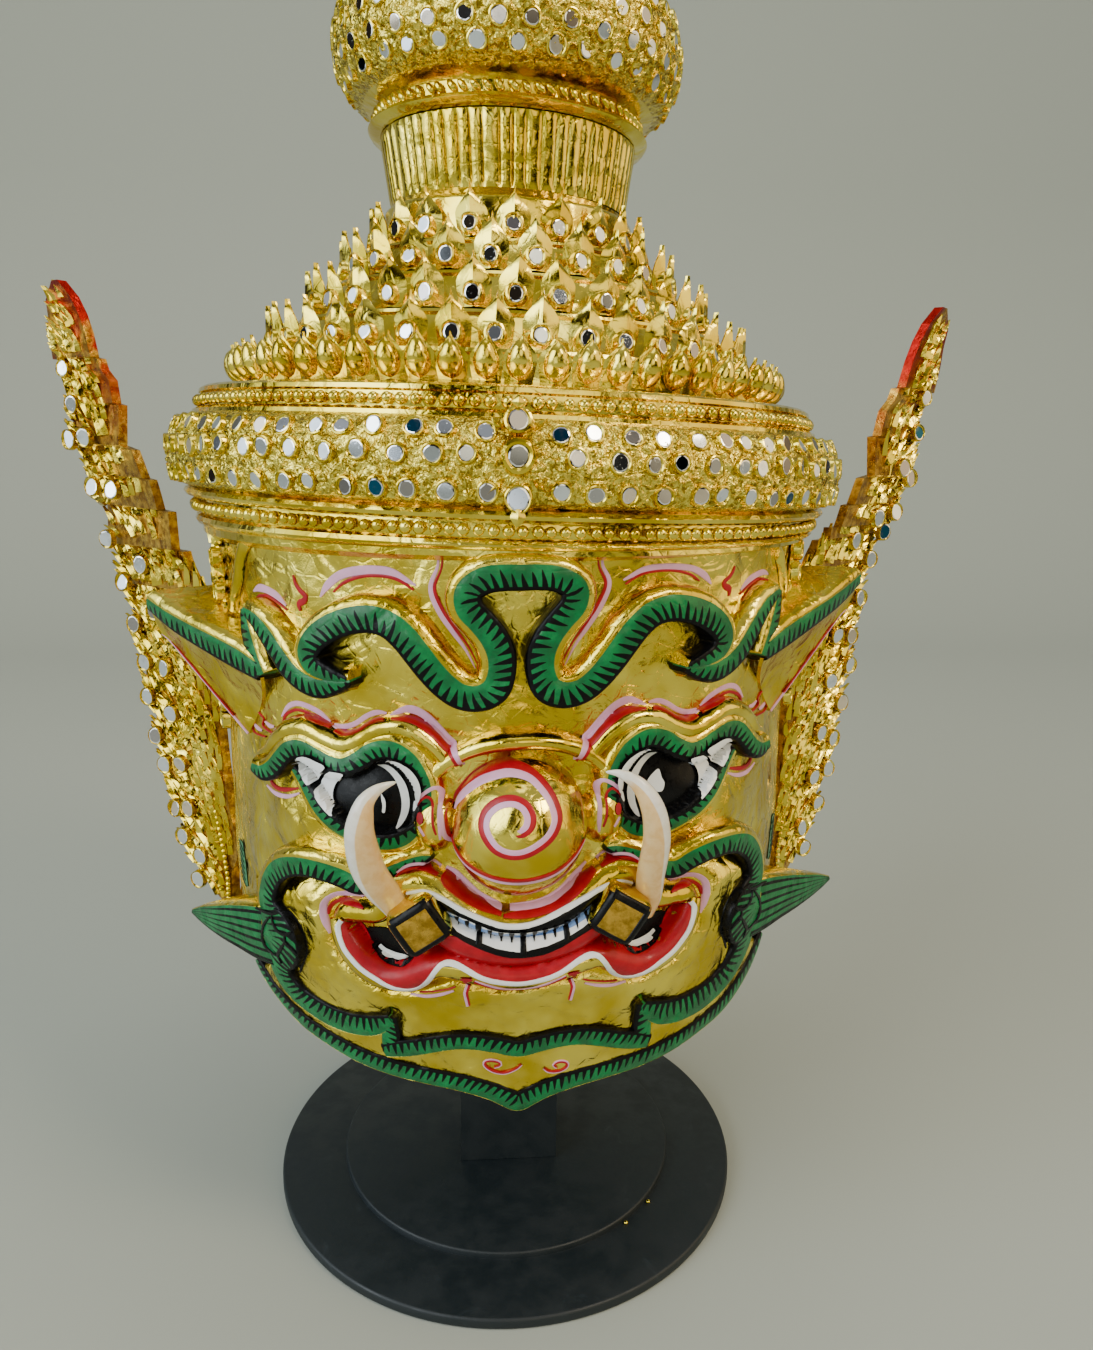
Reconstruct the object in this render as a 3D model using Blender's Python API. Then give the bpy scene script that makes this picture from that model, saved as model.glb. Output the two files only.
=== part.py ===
"""Gilded demon mask with tiered crown, tusks and ear ornaments, on its round stand."""
import math

import bmesh
import bpy
from mathutils import Vector

MM = 0.001

# named sizes, in millimetres
GAP = 0.3                    # clearance between pieces that touch
WALL = 5.0                   # wall of the mask
BASE_RADIUS = 106.0          # lower disc of the stand
BASE_HEIGHT = 5.0
STEP_RADIUS = 77.0           # raised disc of the stand
STEP_HEIGHT = 3.0
POST_SIDE = 44.0             # square post
CORE_SIDES = 18
DRUM_SIDES = 30
SPIRE_SIDES = 18
INNER_SIDES = 28             # sides of the crown's inner skin
CORE_MARGIN = 0.8            # the core stays this far inside the wall
DRUM_TOP_Z = 443.7
CEILING_Z = DRUM_TOP_Z - 31.7    # flat roof inside the crown, where the post carries the mask
SPIRE_FOOT_Z = DRUM_TOP_Z + GAP
FACE_LEAN = 0.034            # hand-made slant of the face, left side lower
CROWN_LEAN = -0.0293         # opposite slant of the crown
PLATE = 3.6                  # thickness of the ear ornaments
HEM = 3.0                    # raised hem along the lower edge of the mask
HEM_WIDTH = 7.0
COLUMN_SHIFT = 0.23          # degrees; keeps the shell's edges off the bands' mirror line
LUG_HALF = 5.0               # half width of the lug that carries each ear ornament
LUG_ROOT = 108.0             # the lugs start this far to the side, inside the wall
LUG_HEIGHTS = (160, 190, 215)
LUG_STEP = 1.8               # the lugs stop this much short of the plates' front edges
FACE_TOP = 297.0             # the face's plain skin ends here, under the crown

# head sections: height, half width, front depth, roundness exponent
HEAD = (
    (65, 96, 100, 2.15), (85, 101, 102, 2.15), (100, 105, 104, 2.15),
    (115, 109, 106, 2.15), (130, 112, 108, 2.15), (152, 115, 110, 2.15),
    (175, 116, 111.5, 2.15), (205, 116, 111.5, 2.12), (235, 116, 112, 2.1),
    (265, 117, 114.5, 2.05), (295, 118, 117.5, 2.0), (335, 119, 119, 2.0),
)

# lower edge of the mask: angle from the front, height
RIM = (
    (0, 96.5), (4.8, 103), (10.3, 106.5), (16.1, 108.5), (27.6, 111.5),
    (38.9, 116), (44.6, 118.7), (50, 123), (54.8, 128.5), (62, 134),
    (75, 139), (90, 142), (180, 142),
)

# heights over which the face's slant fades in and out, and the crown's comes in
CHIN_FADE = (120, 150)
BROW_FADE = (283, 303)
CROWN_FADE = (290, 310)

# plain forms of the face: how far out, middle angle, its width, middle height, its width
FORMS = (
    (6.0, 0, 27, 168, 24), (4.5, 37, 11, 205, 13), (3.0, 26.5, 9, 219, 11),
    (2.0, 22, 18, 268, 14), (3.0, 0, 7, 245, 12),
)

# rounded bodies: middle to the side, forward, height; half sizes; roundness exponent
NOSE = ((0, -113, 210), (22, 24, 23.5), 2.0)
NOSTRIL = ((27.5, -105, 211), (9, 13, 11.5), 2.0)
SOCKET = ((34, -115, 174.8), (10, 10.5, 10), 3.4)

# crown mouldings and mirror band: radius, height
MOULDINGS = (
    (119, 300), (124.4, 303), (127.2, 311), (131.8, 315.5), (135, 325),
    (132, 335), (122, 341), (120, 347.5),
)

# petal rows from the lowest: foot radius, foot height, tip radius, tip height
PETAL_COUNTS = (64, 44, 36, 30, 24)
PETALS = (
    (112.5, 350, 106.5, 364), (102, 363.5, 92, 382.5), (87, 378, 75.5, 398),
    (72.5, 392.5, 62.5, 411), (59, 405.5, 52, 421.5),
)

# drum above the petals: radius, depth below its top
DRUM = ((48, 27.7), (45.4, 24.2), (49, 0))

# inner skin of the crown: radius, height
CROWN_INSIDE = ((112.5, 318), (111.5, 342), (79, 374), (50, 400), (38, CEILING_Z))

NOTCH_DEPTH = 5.0            # notch between two petals, inward and above their feet
NOTCH_RISE = 6.0

# spire: radius, height above its foot
SPIRE = (
    (50, 0), (53.4, 2.4), (51.4, 6), (48, 9.5), (55, 11.5), (61.5, 16),
    (66.2, 27), (65, 37), (59.5, 48), (48, 57.5), (32, 64.5), (20, 68),
    (24, 71.5), (22, 76), (17.5, 78), (24.5, 86), (27.5, 96), (24, 107),
    (10.5, 119), (13, 122), (9, 127), (9.5, 139), (4.5, 168), (1.2, 185),
)

# raised bands of the face. Each path runs from the outer end to the middle:
# angle, height, half width of the painted face, how far it stands out
BROW_WING = (
    (69.8, 278, 2.6, 26), (65, 273, 3.2, 20.5), (60, 269, 3.5, 15.5),
    (55, 265.5, 3.8, 11.5), (50, 262, 3.8, 8.5), (45.2, 258.6, 3.0, 7),
)
BROW_RISE = (
    (44.8, 257.5, 2.6, 7), (46.2, 262.6, 3.0, 7), (47.2, 268, 3.0, 7),
    (47.9, 273, 2.6, 7), (48.3, 280, 1.2, 7),
)
BROW_FALL = (
    (48.2, 279.5, 1.2, 7), (45, 276.4, 2.6, 7), (42.4, 271.9, 3.2, 7),
    (40.1, 266.9, 3.4, 7), (37.9, 261.8, 3.6, 7), (35.2, 258, 3.6, 7),
    (32, 256.3, 3.4, 7), (28.6, 257.4, 2.2, 7), (25.8, 259.4, 0.8, 7),
)
BROW_ARCH = (
    (26.4, 260.2, 1.0, 7), (29.3, 261.4, 2.2, 7), (32.2, 263.6, 3.2, 7),
    (33.2, 267.2, 3.7, 7), (32.3, 271.4, 4.0, 7), (30.2, 275.1, 4.2, 7),
    (27.6, 277.9, 4.2, 7), (24.7, 279.7, 4.2, 7), (21.8, 280.1, 4.2, 7),
    (19.1, 278.3, 4.2, 7), (16.8, 274.1, 4.2, 7), (15, 269.1, 4.2, 7),
    (13.3, 264, 4.2, 7), (11.4, 259.2, 4.2, 7), (9.1, 255.6, 4.2, 7),
    (6.3, 254.8, 4.2, 7), (3.9, 257.3, 4.2, 7), (2.9, 262.5, 3.9, 7),
    (2.9, 268.6, 3.9, 7), (3.9, 274.2, 3.9, 7), (5.6, 279.1, 3.8, 7),
    (7.4, 283.7, 3.8, 7), (7.4, 288.6, 3.8, 7), (5.2, 291.8, 3.9, 7),
    (2.6, 292.6, 3.9, 7), (0.7, 292.6, 3.9, 7),
)
LID_UP = (
    (50.1, 222.4, 1.6, 6), (47, 221.8, 2.6, 6), (44.2, 224.2, 3.2, 6),
    (42.1, 228.3, 3.2, 6), (39.8, 232.4, 3.2, 6), (37.1, 233.6, 3.2, 6),
    (34.2, 231.9, 3.2, 6), (31.3, 229.9, 3.2, 6), (28.5, 229.6, 3.2, 6),
    (25.8, 232.3, 3.2, 6), (23.4, 235.6, 3.2, 6), (20.6, 236.6, 3.2, 6),
    (18, 234, 3.0, 6), (16.2, 229.4, 2.6, 6), (15.1, 223.7, 2.2, 6),
    (15.1, 215.6, 1.6, 5.5),
)
LID_LOW = (
    (39.6, 226.6, 1.4, 4.5), (37.8, 221.7, 2.0, 4.5), (35.5, 217.2, 2.4, 4.5),
    (33.1, 212.7, 2.6, 4.5), (30.5, 208.6, 2.8, 4.5), (27.9, 205.2, 3.0, 4.5),
    (24.7, 203.7, 3.2, 4.5), (21.5, 204.3, 3.2, 4.5), (18.5, 207.1, 3.0, 4.5),
    (15.8, 212.6, 2.0, 4.5),
)
JAW = (
    (23.2, 186.6, 2.4, 6), (26, 189, 3.2, 7), (29.2, 191.6, 3.6, 7.5),
    (32.6, 193.3, 3.8, 8), (36.2, 193.4, 3.8, 8), (39.8, 191.3, 3.8, 8),
    (42.8, 187.2, 3.8, 8), (44.8, 181.6, 3.9, 8), (45.6, 175, 4.4, 8),
    (45, 168.5, 6.0, 8.5), (44.4, 162.5, 6.8, 9), (44.8, 156.5, 5.8, 8.5),
    (45.2, 151.4, 4.2, 8), (43.9, 146.1, 3.9, 7.5), (41.2, 140.4, 3.8, 7),
    (37.8, 136.6, 3.8, 6.5), (33.9, 134.4, 3.8, 6.5), (29.8, 133.6, 3.8, 6.5),
    (25.9, 135, 3.4, 6.5), (22.0, 138.4, 1.6, 6.5),
)
JAW_DROP = (
    (21.9, 139.0, 1.4, 6.3), (22.3, 133.3, 2.8, 6.3), (22.6, 128, 3.2, 6.3),
    (23.2, 121.4, 2.4, 6.3),
)
CHIN = (
    (24.2, 122.6, 2.6, 6.5), (21.8, 124.2, 3.3, 6.5), (18.6, 126, 3.4, 6.5),
    (15.2, 128.3, 3.4, 6.5),
    (11.4, 130.2, 3.3, 6.5), (7.5, 130.4, 3.3, 6.5), (3.6, 128.9, 3.3, 6.5),
    (0.8, 127.2, 3.3, 6.5),
)
LIP_LOW = (
    (31.0, 175.5, 2.0, 6), (29.7, 169, 3.4, 7.5), (27.4, 162.6, 4.3, 8.5),
    (24.8, 158.4, 4.6, 9), (21.7, 156.3, 4.6, 9), (18.5, 157.2, 4.4, 9),
    (15.6, 160.6, 4.0, 9), (12.8, 163.6, 3.9, 9), (9.9, 163.2, 4.2, 9),
    (6.6, 161.1, 4.3, 9), (3.1, 159.4, 4.3, 9), (0.9, 159, 4.3, 9),
)
LIP_UP = (
    (31.2, 172.5, 1.6, 4), (29.6, 176.4, 2.6, 5.5), (26.4, 177.9, 2.8, 6.5),
    (22.6, 180.2, 3.2, 8), (20, 188.4, 3.4, 8), (17.4, 191.2, 3.4, 8),
    (14, 190.2, 3.4, 8), (10.8, 185.8, 3.0, 8), (7.4, 181, 2.8, 8),
    (3.6, 178.5, 2.8, 8), (0.7, 177.7, 2.8, 8),
)
LID_FOLD = (
    (49.6, 227.2, 1.0, 4), (46.6, 230.2, 1.8, 5), (43.6, 235.6, 2.3, 6),
    (40.4, 239.6, 2.6, 6.5), (36.8, 240.9, 2.6, 6.5), (33, 238.6, 2.6, 6.5),
    (29.2, 236.8, 2.6, 6.5), (25.8, 239.4, 2.6, 6.5), (22.6, 243, 2.6, 6.5),
    (19.2, 244, 2.6, 6.5), (15.8, 241.3, 2.5, 6.5), (13, 236, 2.2, 6),
    (11, 230, 1.6, 5),
)
NOSE_FOLD = (
    (16.2, 221.5, 1.4, 4), (13.2, 229.5, 1.9, 5.5), (9.2, 235.4, 2.1, 6.5),
    (4.6, 238.6, 2.2, 7), (0.8, 239.4, 2.2, 7),
)
JAW_WING = (
    (70.5, 152.3, 0.9, 25), (66, 154.8, 3.4, 20), (61, 157, 5.4, 15.5),
    (56, 159.2, 7.2, 12), (51, 161, 8.6, 9.5), (46.5, 162.4, 9.0, 8),
)
# path, which side carries the gilded shoulder (1 is left of the direction of travel)
BANDS = (
    (BROW_WING, 1), (BROW_RISE, -1), (BROW_FALL, 1), (LID_UP, 1), (LID_LOW, -1),
    (JAW, -1), (JAW_DROP, -1), (LID_FOLD, 0), (JAW_WING, 1),
)
# the same for the bands that run on over the middle to the other side
SPANS = ((BROW_ARCH, 1), (CHIN, 1), (LIP_LOW, -1), (LIP_UP, 1), (NOSE_FOLD, 0))

# one tusk, from root to tip: sideways, forward, height, half thickness
TUSK = (
    (36.6, 112.4, 176.2, 4.3), (39.4, 115, 181, 4.4), (41.8, 117.6, 186.1, 4.5),
    (44.3, 121.4, 194.9, 4.6), (46, 124.8, 204.6, 4.6), (46.2, 127, 213.6, 4.3),
    (44.6, 127.8, 221.4, 3.6), (41, 127.2, 226.8, 2.7), (36.8, 125.8, 229.4, 1.7),
    (32.6, 124.4, 230.6, 0.4),
)

# ear ornament: height, front edge and back edge measured sideways from the middle
EAR = (
    (133, 120.5, 123), (141, 119.8, 134.5), (150, 119.6, 141), (160, 120.4, 145),
    (176, 122.2, 148), (184, 123.4, 153), (200, 124.4, 152.5), (207, 124.8, 157),
    (222, 125.4, 156.5), (229, 125.8, 161.5), (243, 126.2, 160), (251, 126.5, 166),
    (266, 126.8, 164.5), (276, 127.2, 170.5), (277, 130.4, 168), (291.4, 130.6, 169),
    (292, 135, 173.5), (302, 135.4, 171.8), (302.6, 139.6, 174.5), (313, 142, 177.5),
    (313.6, 144.6, 174.6), (324.4, 147.8, 178), (326, 152.4, 180.5),
    (341.4, 151.2, 179), (342, 153.4, 182.5), (352, 155.1, 180),
    (356.5, 158.3, 183.3), (361.2, 159.7, 181.7), (361.8, 162.2, 185.6),
    (372.1, 164.5, 186.7), (380.1, 167, 185.7), (387.1, 170.2, 185.2), (393.7, 175.1, 178.5),
)
EAR_Y = -8.0                 # front edge of the ear ornaments
EAR_TURN = math.radians(45)  # how far the plates turn back from facing forward


def table(rows, key, column):
    """Value of one column between the rows of a table."""
    if key <= rows[0][0]:
        return rows[0][column]
    for low, high in zip(rows, rows[1:]):
        if key <= high[0]:
            part = (key - low[0]) / (high[0] - low[0])
            return low[column] + (high[column] - low[column]) * part
    return rows[-1][column]


def ease(low, high, value):
    """Smooth rise from 0 at low to 1 at high."""
    part = min(max((value - low) / (high - low), 0.0), 1.0)
    return part * part * (3 - 2 * part)


def hill(value, middle, width):
    """Bell curve of height 1."""
    return math.exp(-((value - middle) / width) ** 2)


def relief(angle, z):
    """How far the plain forms of the face stand out from the helmet."""
    return sum(out * hill(abs(angle), turn, wide) * hill(z, height, tall)
               for out, turn, wide, height, tall in FORMS)


def head_radius(angle, z):
    """Distance of the helmet surface from the axis."""
    width = table(HEAD, z, 1)
    depth = table(HEAD, z, 2)
    power = table(HEAD, z, 3)
    turn = math.radians(angle)
    across = abs(math.sin(turn) / width) ** power
    along = abs(math.cos(turn) / depth) ** power
    return (across + along) ** (-1.0 / power)


def leaned(x, y, z):
    """Point of the mask after its hand-made slant."""
    face = ease(*CHIN_FADE, z) * (1 - ease(*BROW_FADE, z))
    crown = ease(*CROWN_FADE, z)
    return (x, y, z + x * (FACE_LEAN * face + CROWN_LEAN * crown))


def on_face(angle, z, lift):
    """Point above the face at an angle from the front."""
    reach = head_radius(angle, z) + relief(angle, z) + lift
    turn = math.radians(angle)
    return leaned(reach * math.sin(turn), -reach * math.cos(turn), z)


def polar(radius, turn, z):
    """Point of the crown; turn in radians from the front."""
    return leaned(radius * math.sin(turn), -radius * math.cos(turn), z)


def solid(name, verts, faces):
    """Named object from points in millimetres, faces turned outward."""
    mesh = bpy.data.meshes.new(name)
    scaled = [(x * MM, y * MM, z * MM) for x, y, z in verts]
    mesh.from_pydata(scaled, [], faces)
    work = bmesh.new()
    work.from_mesh(mesh)
    bmesh.ops.remove_doubles(work, verts=work.verts, dist=0.00001)
    bmesh.ops.triangulate(work, faces=work.faces)
    bmesh.ops.recalc_face_normals(work, faces=work.faces)
    work.to_mesh(mesh)
    work.free()
    thing = bpy.data.objects.new(name, mesh)
    bpy.context.collection.objects.link(thing)
    return thing


def join_cut(target, tool, operation):
    """Exact boolean of a tool on a target; the tool goes away."""
    change = target.modifiers.new(name=operation.lower(), type="BOOLEAN")
    change.operation = operation
    change.solver = "EXACT"
    change.object = tool
    graph = bpy.context.evaluated_depsgraph_get()
    result = bpy.data.meshes.new_from_object(target.evaluated_get(graph))
    target.modifiers.clear()
    target.data = result
    bpy.data.objects.remove(tool, do_unlink=True)


def zip_loops(verts, faces, loops):
    """Join closed loops of points, of any counts, into one skin."""
    starts = []
    for loop in loops:
        starts.append(len(verts))
        verts.extend(point for _, point in loop)
    for low in range(len(loops) - 1):
        a, b = loops[low], loops[low + 1]
        i = j = 0
        while i < len(a) or j < len(b):
            next_a = a[i + 1][0] if i + 1 < len(a) else 2 * math.pi + a[0][0]
            next_b = b[j + 1][0] if j + 1 < len(b) else 2 * math.pi + b[0][0]
            left = starts[low] + i % len(a)
            right = starts[low + 1] + j % len(b)
            if j >= len(b) or (i < len(a) and next_a <= next_b):
                i += 1
                faces.append((left, starts[low] + i % len(a), right))
            else:
                j += 1
                faces.append((left, starts[low + 1] + j % len(b), right))
    return starts


def cap(faces, start, count):
    """Close one loop with a flat face."""
    faces.append(tuple(start + k for k in range(count)))


def across_middle(rows):
    """Path from one side to the mirrored end on the other side."""
    return rows + tuple((-angle, *rest) for angle, *rest in reversed(rows[:-1]))


def smooth_path(rows, most_turn=42, longest=24):
    """Points along a curve through the rows of a path, closer where it bends."""
    dense = []
    last = len(rows) - 1
    for k in range(last):
        p0, p1 = rows[max(k - 1, 0)], rows[k]
        p2, p3 = rows[k + 1], rows[min(k + 2, last)]
        for step in range(6):
            t = step / 6
            dense.append(tuple(
                0.5 * (2 * b + (c - a) * t + (2 * a - 5 * b + 4 * c - d) * t * t
                       + (3 * b - a - 3 * c + d) * t ** 3)
                for a, b, c, d in zip(p0, p1, p2, p3)))
    dense.append(rows[-1])
    out = [dense[0]]
    turned_by = run = 0.0
    heading = None
    for a, b in zip(dense, dense[1:]):
        step = ((b[0] - a[0]) * 2.0, b[1] - a[1])
        way = math.degrees(math.atan2(step[1], step[0]))
        if heading is not None:
            turned_by += abs((way - heading + 180) % 360 - 180)
        heading = way
        if turned_by > most_turn or run > longest:
            out.append(a)
            turned_by = run = 0.0
        run += math.hypot(*step)
    if run < 3 and len(out) > 2:
        out.pop()
    out.append(dense[-1])
    return out


def band_section(half, lift, shoulder):
    """Cross-section of a raised band: sideways, height above the face."""
    if shoulder == 0:
        return ((-half - 1.4, -3.0), (-half * 0.6, lift), (half * 0.6, lift),
                (half + 1.4, -3.0))
    return ((-half - 0.3, -3.0), (-half, lift), (half * 0.8, lift), (half + 3.0, -3.0))


def band(rows, shoulder, side):
    """Raised band along a path on the face; side 1 or -1 mirrors it."""
    path = smooth_path(rows)
    last = len(path) - 1
    spots, acrosses, scales = [], [], []
    for k, (angle, z, _, _) in enumerate(path):
        before, after = path[max(k - 1, 0)], path[min(k + 1, last)]
        scale = math.radians(1) * head_radius(angle, z)
        run = Vector(((after[0] - before[0]) * scale, after[1] - before[1])).normalized()
        spots.append(Vector((angle * scale, z)))
        acrosses.append(Vector((run.y, -run.x)) * (shoulder if shoulder else 1))
        scales.append(scale)
    # the inner side of a bend stays short of the point where the section would fold
    low, high = [-99.0] * len(path), [99.0] * len(path)
    for k in range(last):
        run = spots[k + 1] - spots[k]
        closing = (acrosses[k + 1] - acrosses[k]).dot(run) / run.length_squared
        for m in (k, k + 1):
            if closing < -0.001:
                high[m] = min(high[m], -0.8 / closing)
            if closing > 0.001:
                low[m] = max(low[m], -0.8 / closing)
    verts = []
    for k, (angle, z, half, lift) in enumerate(path):
        for sideways, height in band_section(half, lift, shoulder):
            offset = acrosses[k] * min(max(sideways, low[k]), high[k])
            verts.append(on_face(-side * (angle + offset.x / scales[k]), z + offset.y, height))
    size = 4
    faces = []
    for k in range(last):
        for m in range(size):
            n = (m + 1) % size
            faces.append((k * size + m, k * size + n, (k + 1) * size + n, (k + 1) * size + m))
    faces.append(tuple(range(size)))
    faces.append(tuple(range(len(verts) - size, len(verts))))
    return solid("band", verts, faces)


def egg(side, form, around, rows):
    """Closed rounded body of the face, on one side or in the middle."""
    (out, y, z), radii, power = form
    middle = (side * out, y, z)
    verts = [(middle[0], middle[1], middle[2] - radii[2])]
    for k in range(1, rows):
        tilt = math.pi * k / rows - math.pi / 2
        for m in range(around):
            turn = 2 * math.pi * m / around
            unit = [math.cos(tilt) * math.cos(turn), math.cos(tilt) * math.sin(turn),
                    math.sin(tilt)]
            size = sum(abs(u) ** power for u in unit) ** (-1 / power)
            verts.append(tuple(c + r * u * size for c, r, u in zip(middle, radii, unit)))
    verts.append((middle[0], middle[1], middle[2] + radii[2]))
    faces = []
    for m in range(around):
        n = (m + 1) % around
        faces.append((0, 1 + n, 1 + m))
        for k in range(rows - 2):
            low = 1 + k * around
            faces.append((low + m, low + n, low + around + n, low + around + m))
        top = 1 + (rows - 2) * around
        faces.append((top + m, top + n, len(verts) - 1))
    return solid("egg", [leaned(*v) for v in verts], faces)


def tusk(side, grow, name):
    """Curved tusk; grow widens and lengthens it for the socket that holds it."""
    verts = []
    around = 8
    rows = TUSK
    for k, (x, y, z, half) in enumerate(rows):
        before, after = rows[max(k - 1, 0)], rows[min(k + 1, len(rows) - 1)]
        run = Vector((after[0] - before[0], before[1] - after[1], after[2] - before[2]))
        run.normalize()
        out = Vector((0, -1, 0))
        out = (out - run * out.dot(run)).normalized()
        over = run.cross(out)
        shift = run * (-grow if k == 0 else 0)
        for m in range(around):
            turn = 2 * math.pi * m / around
            spoke = over * math.cos(turn) + out * math.sin(turn) * 0.8
            p = Vector((x, -y, z)) + shift + spoke * (half + grow)
            verts.append(leaned(side * p.x, p.y, p.z))
    faces = [tuple(range(around)), tuple(range(len(verts) - around, len(verts)))]
    for k in range(len(rows) - 1):
        for m in range(around):
            n = (m + 1) % around
            low = k * around
            faces.append((low + m, low + n, low + around + n, low + around + m))
    return solid(name, verts, faces)


def circle(radius, z, count):
    """Loop of crown points."""
    return [(2 * math.pi * k / count, polar(radius, 2 * math.pi * k / count, z))
            for k in range(count)]


def face_loop(z_of, lift, angles):
    """Loop of face points at a height given for each angle."""
    loop = []
    for angle in angles:
        turn = math.radians(angle) % (2 * math.pi)
        signed = angle if angle <= 180 else angle - 360
        loop.append((turn, on_face(signed, z_of(abs(signed)), lift)))
    return loop


def mask_shell():
    """Hollow mask with its crown tiers and drum, before the raised bands."""
    fine = [k * 7.5 for k in range(11)]
    back = [75 + k * 15 for k in range(1, 14)]
    angles = fine + back + [360 - angle for angle in fine[:0:-1]]
    angles = [angle + COLUMN_SHIFT for angle in angles]
    levels = [k / 5 for k in range(1, 6)]
    loops = [face_loop(lambda side, p=rise: table(RIM, side, 1) + p, lift, angles)
             for rise, lift in ((0.0, 0.0), (0.4, HEM), (HEM_WIDTH, HEM), (HEM_WIDTH + 1.5, 0.0))]
    for level in levels:
        loops.append(face_loop(
            lambda side, p=level: table(RIM, side, 1) * (1 - p) + FACE_TOP * p,
            0.0, angles))
    loops += [circle(r, z, 42) for r, z in MOULDINGS]
    for count, (foot, foot_z, tip, tip_z) in zip(PETAL_COUNTS, PETALS):
        tips = []
        for k in range(2 * count):
            turn = math.pi * k / count
            if k % 2 == 0:
                tips.append((turn, polar(tip, turn, tip_z)))
            else:
                tips.append((turn, polar(foot - NOTCH_DEPTH, turn, foot_z + NOTCH_RISE)))
        loops += [circle(foot, foot_z, count), tips]
    loops += [circle(r, DRUM_TOP_Z - below, DRUM_SIDES) for r, below in DRUM]
    verts, faces = [], []
    starts = zip_loops(verts, faces, loops)
    cap(faces, starts[-1], DRUM_SIDES)
    rim_start, rim_count = starts[0], len(loops[0])
    inside = [face_loop(
        lambda side, p=level: table(RIM, side, 1) * (1 - p) + FACE_TOP * p,
        -WALL, angles) for level in (0.0, 0.4, 1.0)]
    inside += [circle(r, z, INNER_SIDES) for r, z in CROWN_INSIDE]
    inner = zip_loops(verts, faces, inside)
    cap(faces, inner[-1], INNER_SIDES)
    for k in range(rim_count):
        n = (k + 1) % rim_count
        faces.append((rim_start + k, rim_start + n, inner[0] + n, inner[0] + k))
    return solid("mask", verts, faces)


def core():
    """Body of the wearer's space behind the face, for clearing what stands into it."""
    turns = [360 * k / CORE_SIDES for k in range(CORE_SIDES)]
    loops = []
    for z in (150, 250):
        loop = []
        for angle in turns:
            turn = math.radians(angle)
            signed = angle if angle <= 180 else angle - 360
            reach = head_radius(signed, z) - WALL - CORE_MARGIN
            loop.append((turn, leaned(reach * math.sin(turn), -reach * math.cos(turn), z)))
        loops.append(loop)
    verts, faces = [], []
    starts = zip_loops(verts, faces, loops)
    cap(faces, starts[0], CORE_SIDES)
    cap(faces, starts[-1], CORE_SIDES)
    return solid("core", verts, faces)


def lug(side):
    """Block on the side of the mask that carries an ear ornament."""
    verts = []
    for z in LUG_HEIGHTS:
        end = table(EAR, z, 1) - GAP - LUG_STEP
        for x, way in ((LUG_ROOT, -1), (end, -1), (end, 1), (LUG_ROOT, 1)):
            verts.append(leaned(side * x, EAR_Y + way * LUG_HALF, z))
    faces = [(0, 1, 2, 3), (8, 9, 10, 11)]
    for k in range(2):
        for m in range(4):
            n = (m + 1) % 4
            faces.append((4 * k + m, 4 * k + n, 4 * k + 4 + n, 4 * k + 4 + m))
    return solid("lug", verts, faces)


def ear_plate(side, name):
    """Flame-shaped leather plate with stepped edges, leaning outward."""
    spread = math.tan(EAR_TURN)
    normal = Vector((-math.cos(EAR_TURN), -math.sin(EAR_TURN), 0)) * (PLATE / 2)
    verts = []
    for z, front, back in EAR:
        for x, y in ((front, EAR_Y), (back, EAR_Y + (back - front) * spread)):
            for way in (1, -1):
                px = x - normal.x * way
                py = y + normal.y * way
                verts.append(leaned(side * px, py, z))
    faces = [(0, 1, 3, 2), tuple(len(verts) - 4 + k for k in (0, 1, 3, 2))]
    for k in range(len(EAR) - 1):
        a, b = 4 * k, 4 * k + 4
        for m, n in ((0, 1), (1, 3), (3, 2), (2, 0)):
            faces.append((a + m, a + n, b + n, b + m))
    return solid(name, verts, faces)


def turned(name, profile, count, lean):
    """Solid of revolution from a profile of radius and height."""
    loops = []
    for radius, z in profile:
        loop = []
        for k in range(count):
            turn = 2 * math.pi * k / count
            point = (radius * math.sin(turn), -radius * math.cos(turn), z)
            loop.append((turn, leaned(*point) if lean else point))
        loops.append(loop)
    verts, faces = [], []
    starts = zip_loops(verts, faces, loops)
    cap(faces, starts[0], count)
    cap(faces, starts[-1], count)
    return solid(name, verts, faces)


def paint(thing, colour, roughness, metallic, angle=35):
    """Own material and soft shading with sharp creases kept."""
    material = bpy.data.materials.new(thing.name + "_finish")
    material.use_nodes = True
    shader = material.node_tree.nodes["Principled BSDF"]
    shader.inputs["Base Color"].default_value = (*colour, 1)
    shader.inputs["Roughness"].default_value = roughness
    shader.inputs["Metallic"].default_value = metallic
    thing.data.materials.clear()
    thing.data.materials.append(material)
    for face in thing.data.polygons:
        face.use_smooth = True
        face.material_index = 0
    thing.data.set_sharp_from_angle(angle=math.radians(angle))


for old in list(bpy.data.objects):
    bpy.data.objects.remove(old, do_unlink=True)

# mask: shell, nose, nostrils, sockets, bands and lugs grown together
mask = mask_shell()
join_cut(mask, egg(1, NOSE, 12, 7), "UNION")
for rows, shoulder in SPANS:
    join_cut(mask, band(across_middle(rows), shoulder, 1), "UNION")
for way in (-1, 1):
    join_cut(mask, egg(way, NOSTRIL, 7, 4), "UNION")
    join_cut(mask, egg(way, SOCKET, 8, 6), "UNION")
    for rows, shoulder in BANDS:
        join_cut(mask, band(rows, shoulder, way), "UNION")
    join_cut(mask, lug(way), "UNION")
    join_cut(mask, tusk(way, GAP, "tusk_socket"), "DIFFERENCE")
join_cut(mask, core(), "DIFFERENCE")
paint(mask, (0.83, 0.58, 0.14), 0.25, 1.0)

tusk_right = tusk(1, 0.0, "tusk_right")
tusk_left = tusk(-1, 0.0, "tusk_left")
for one in (tusk_left, tusk_right):
    paint(one, (0.86, 0.79, 0.64), 0.3, 0.0)

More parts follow.
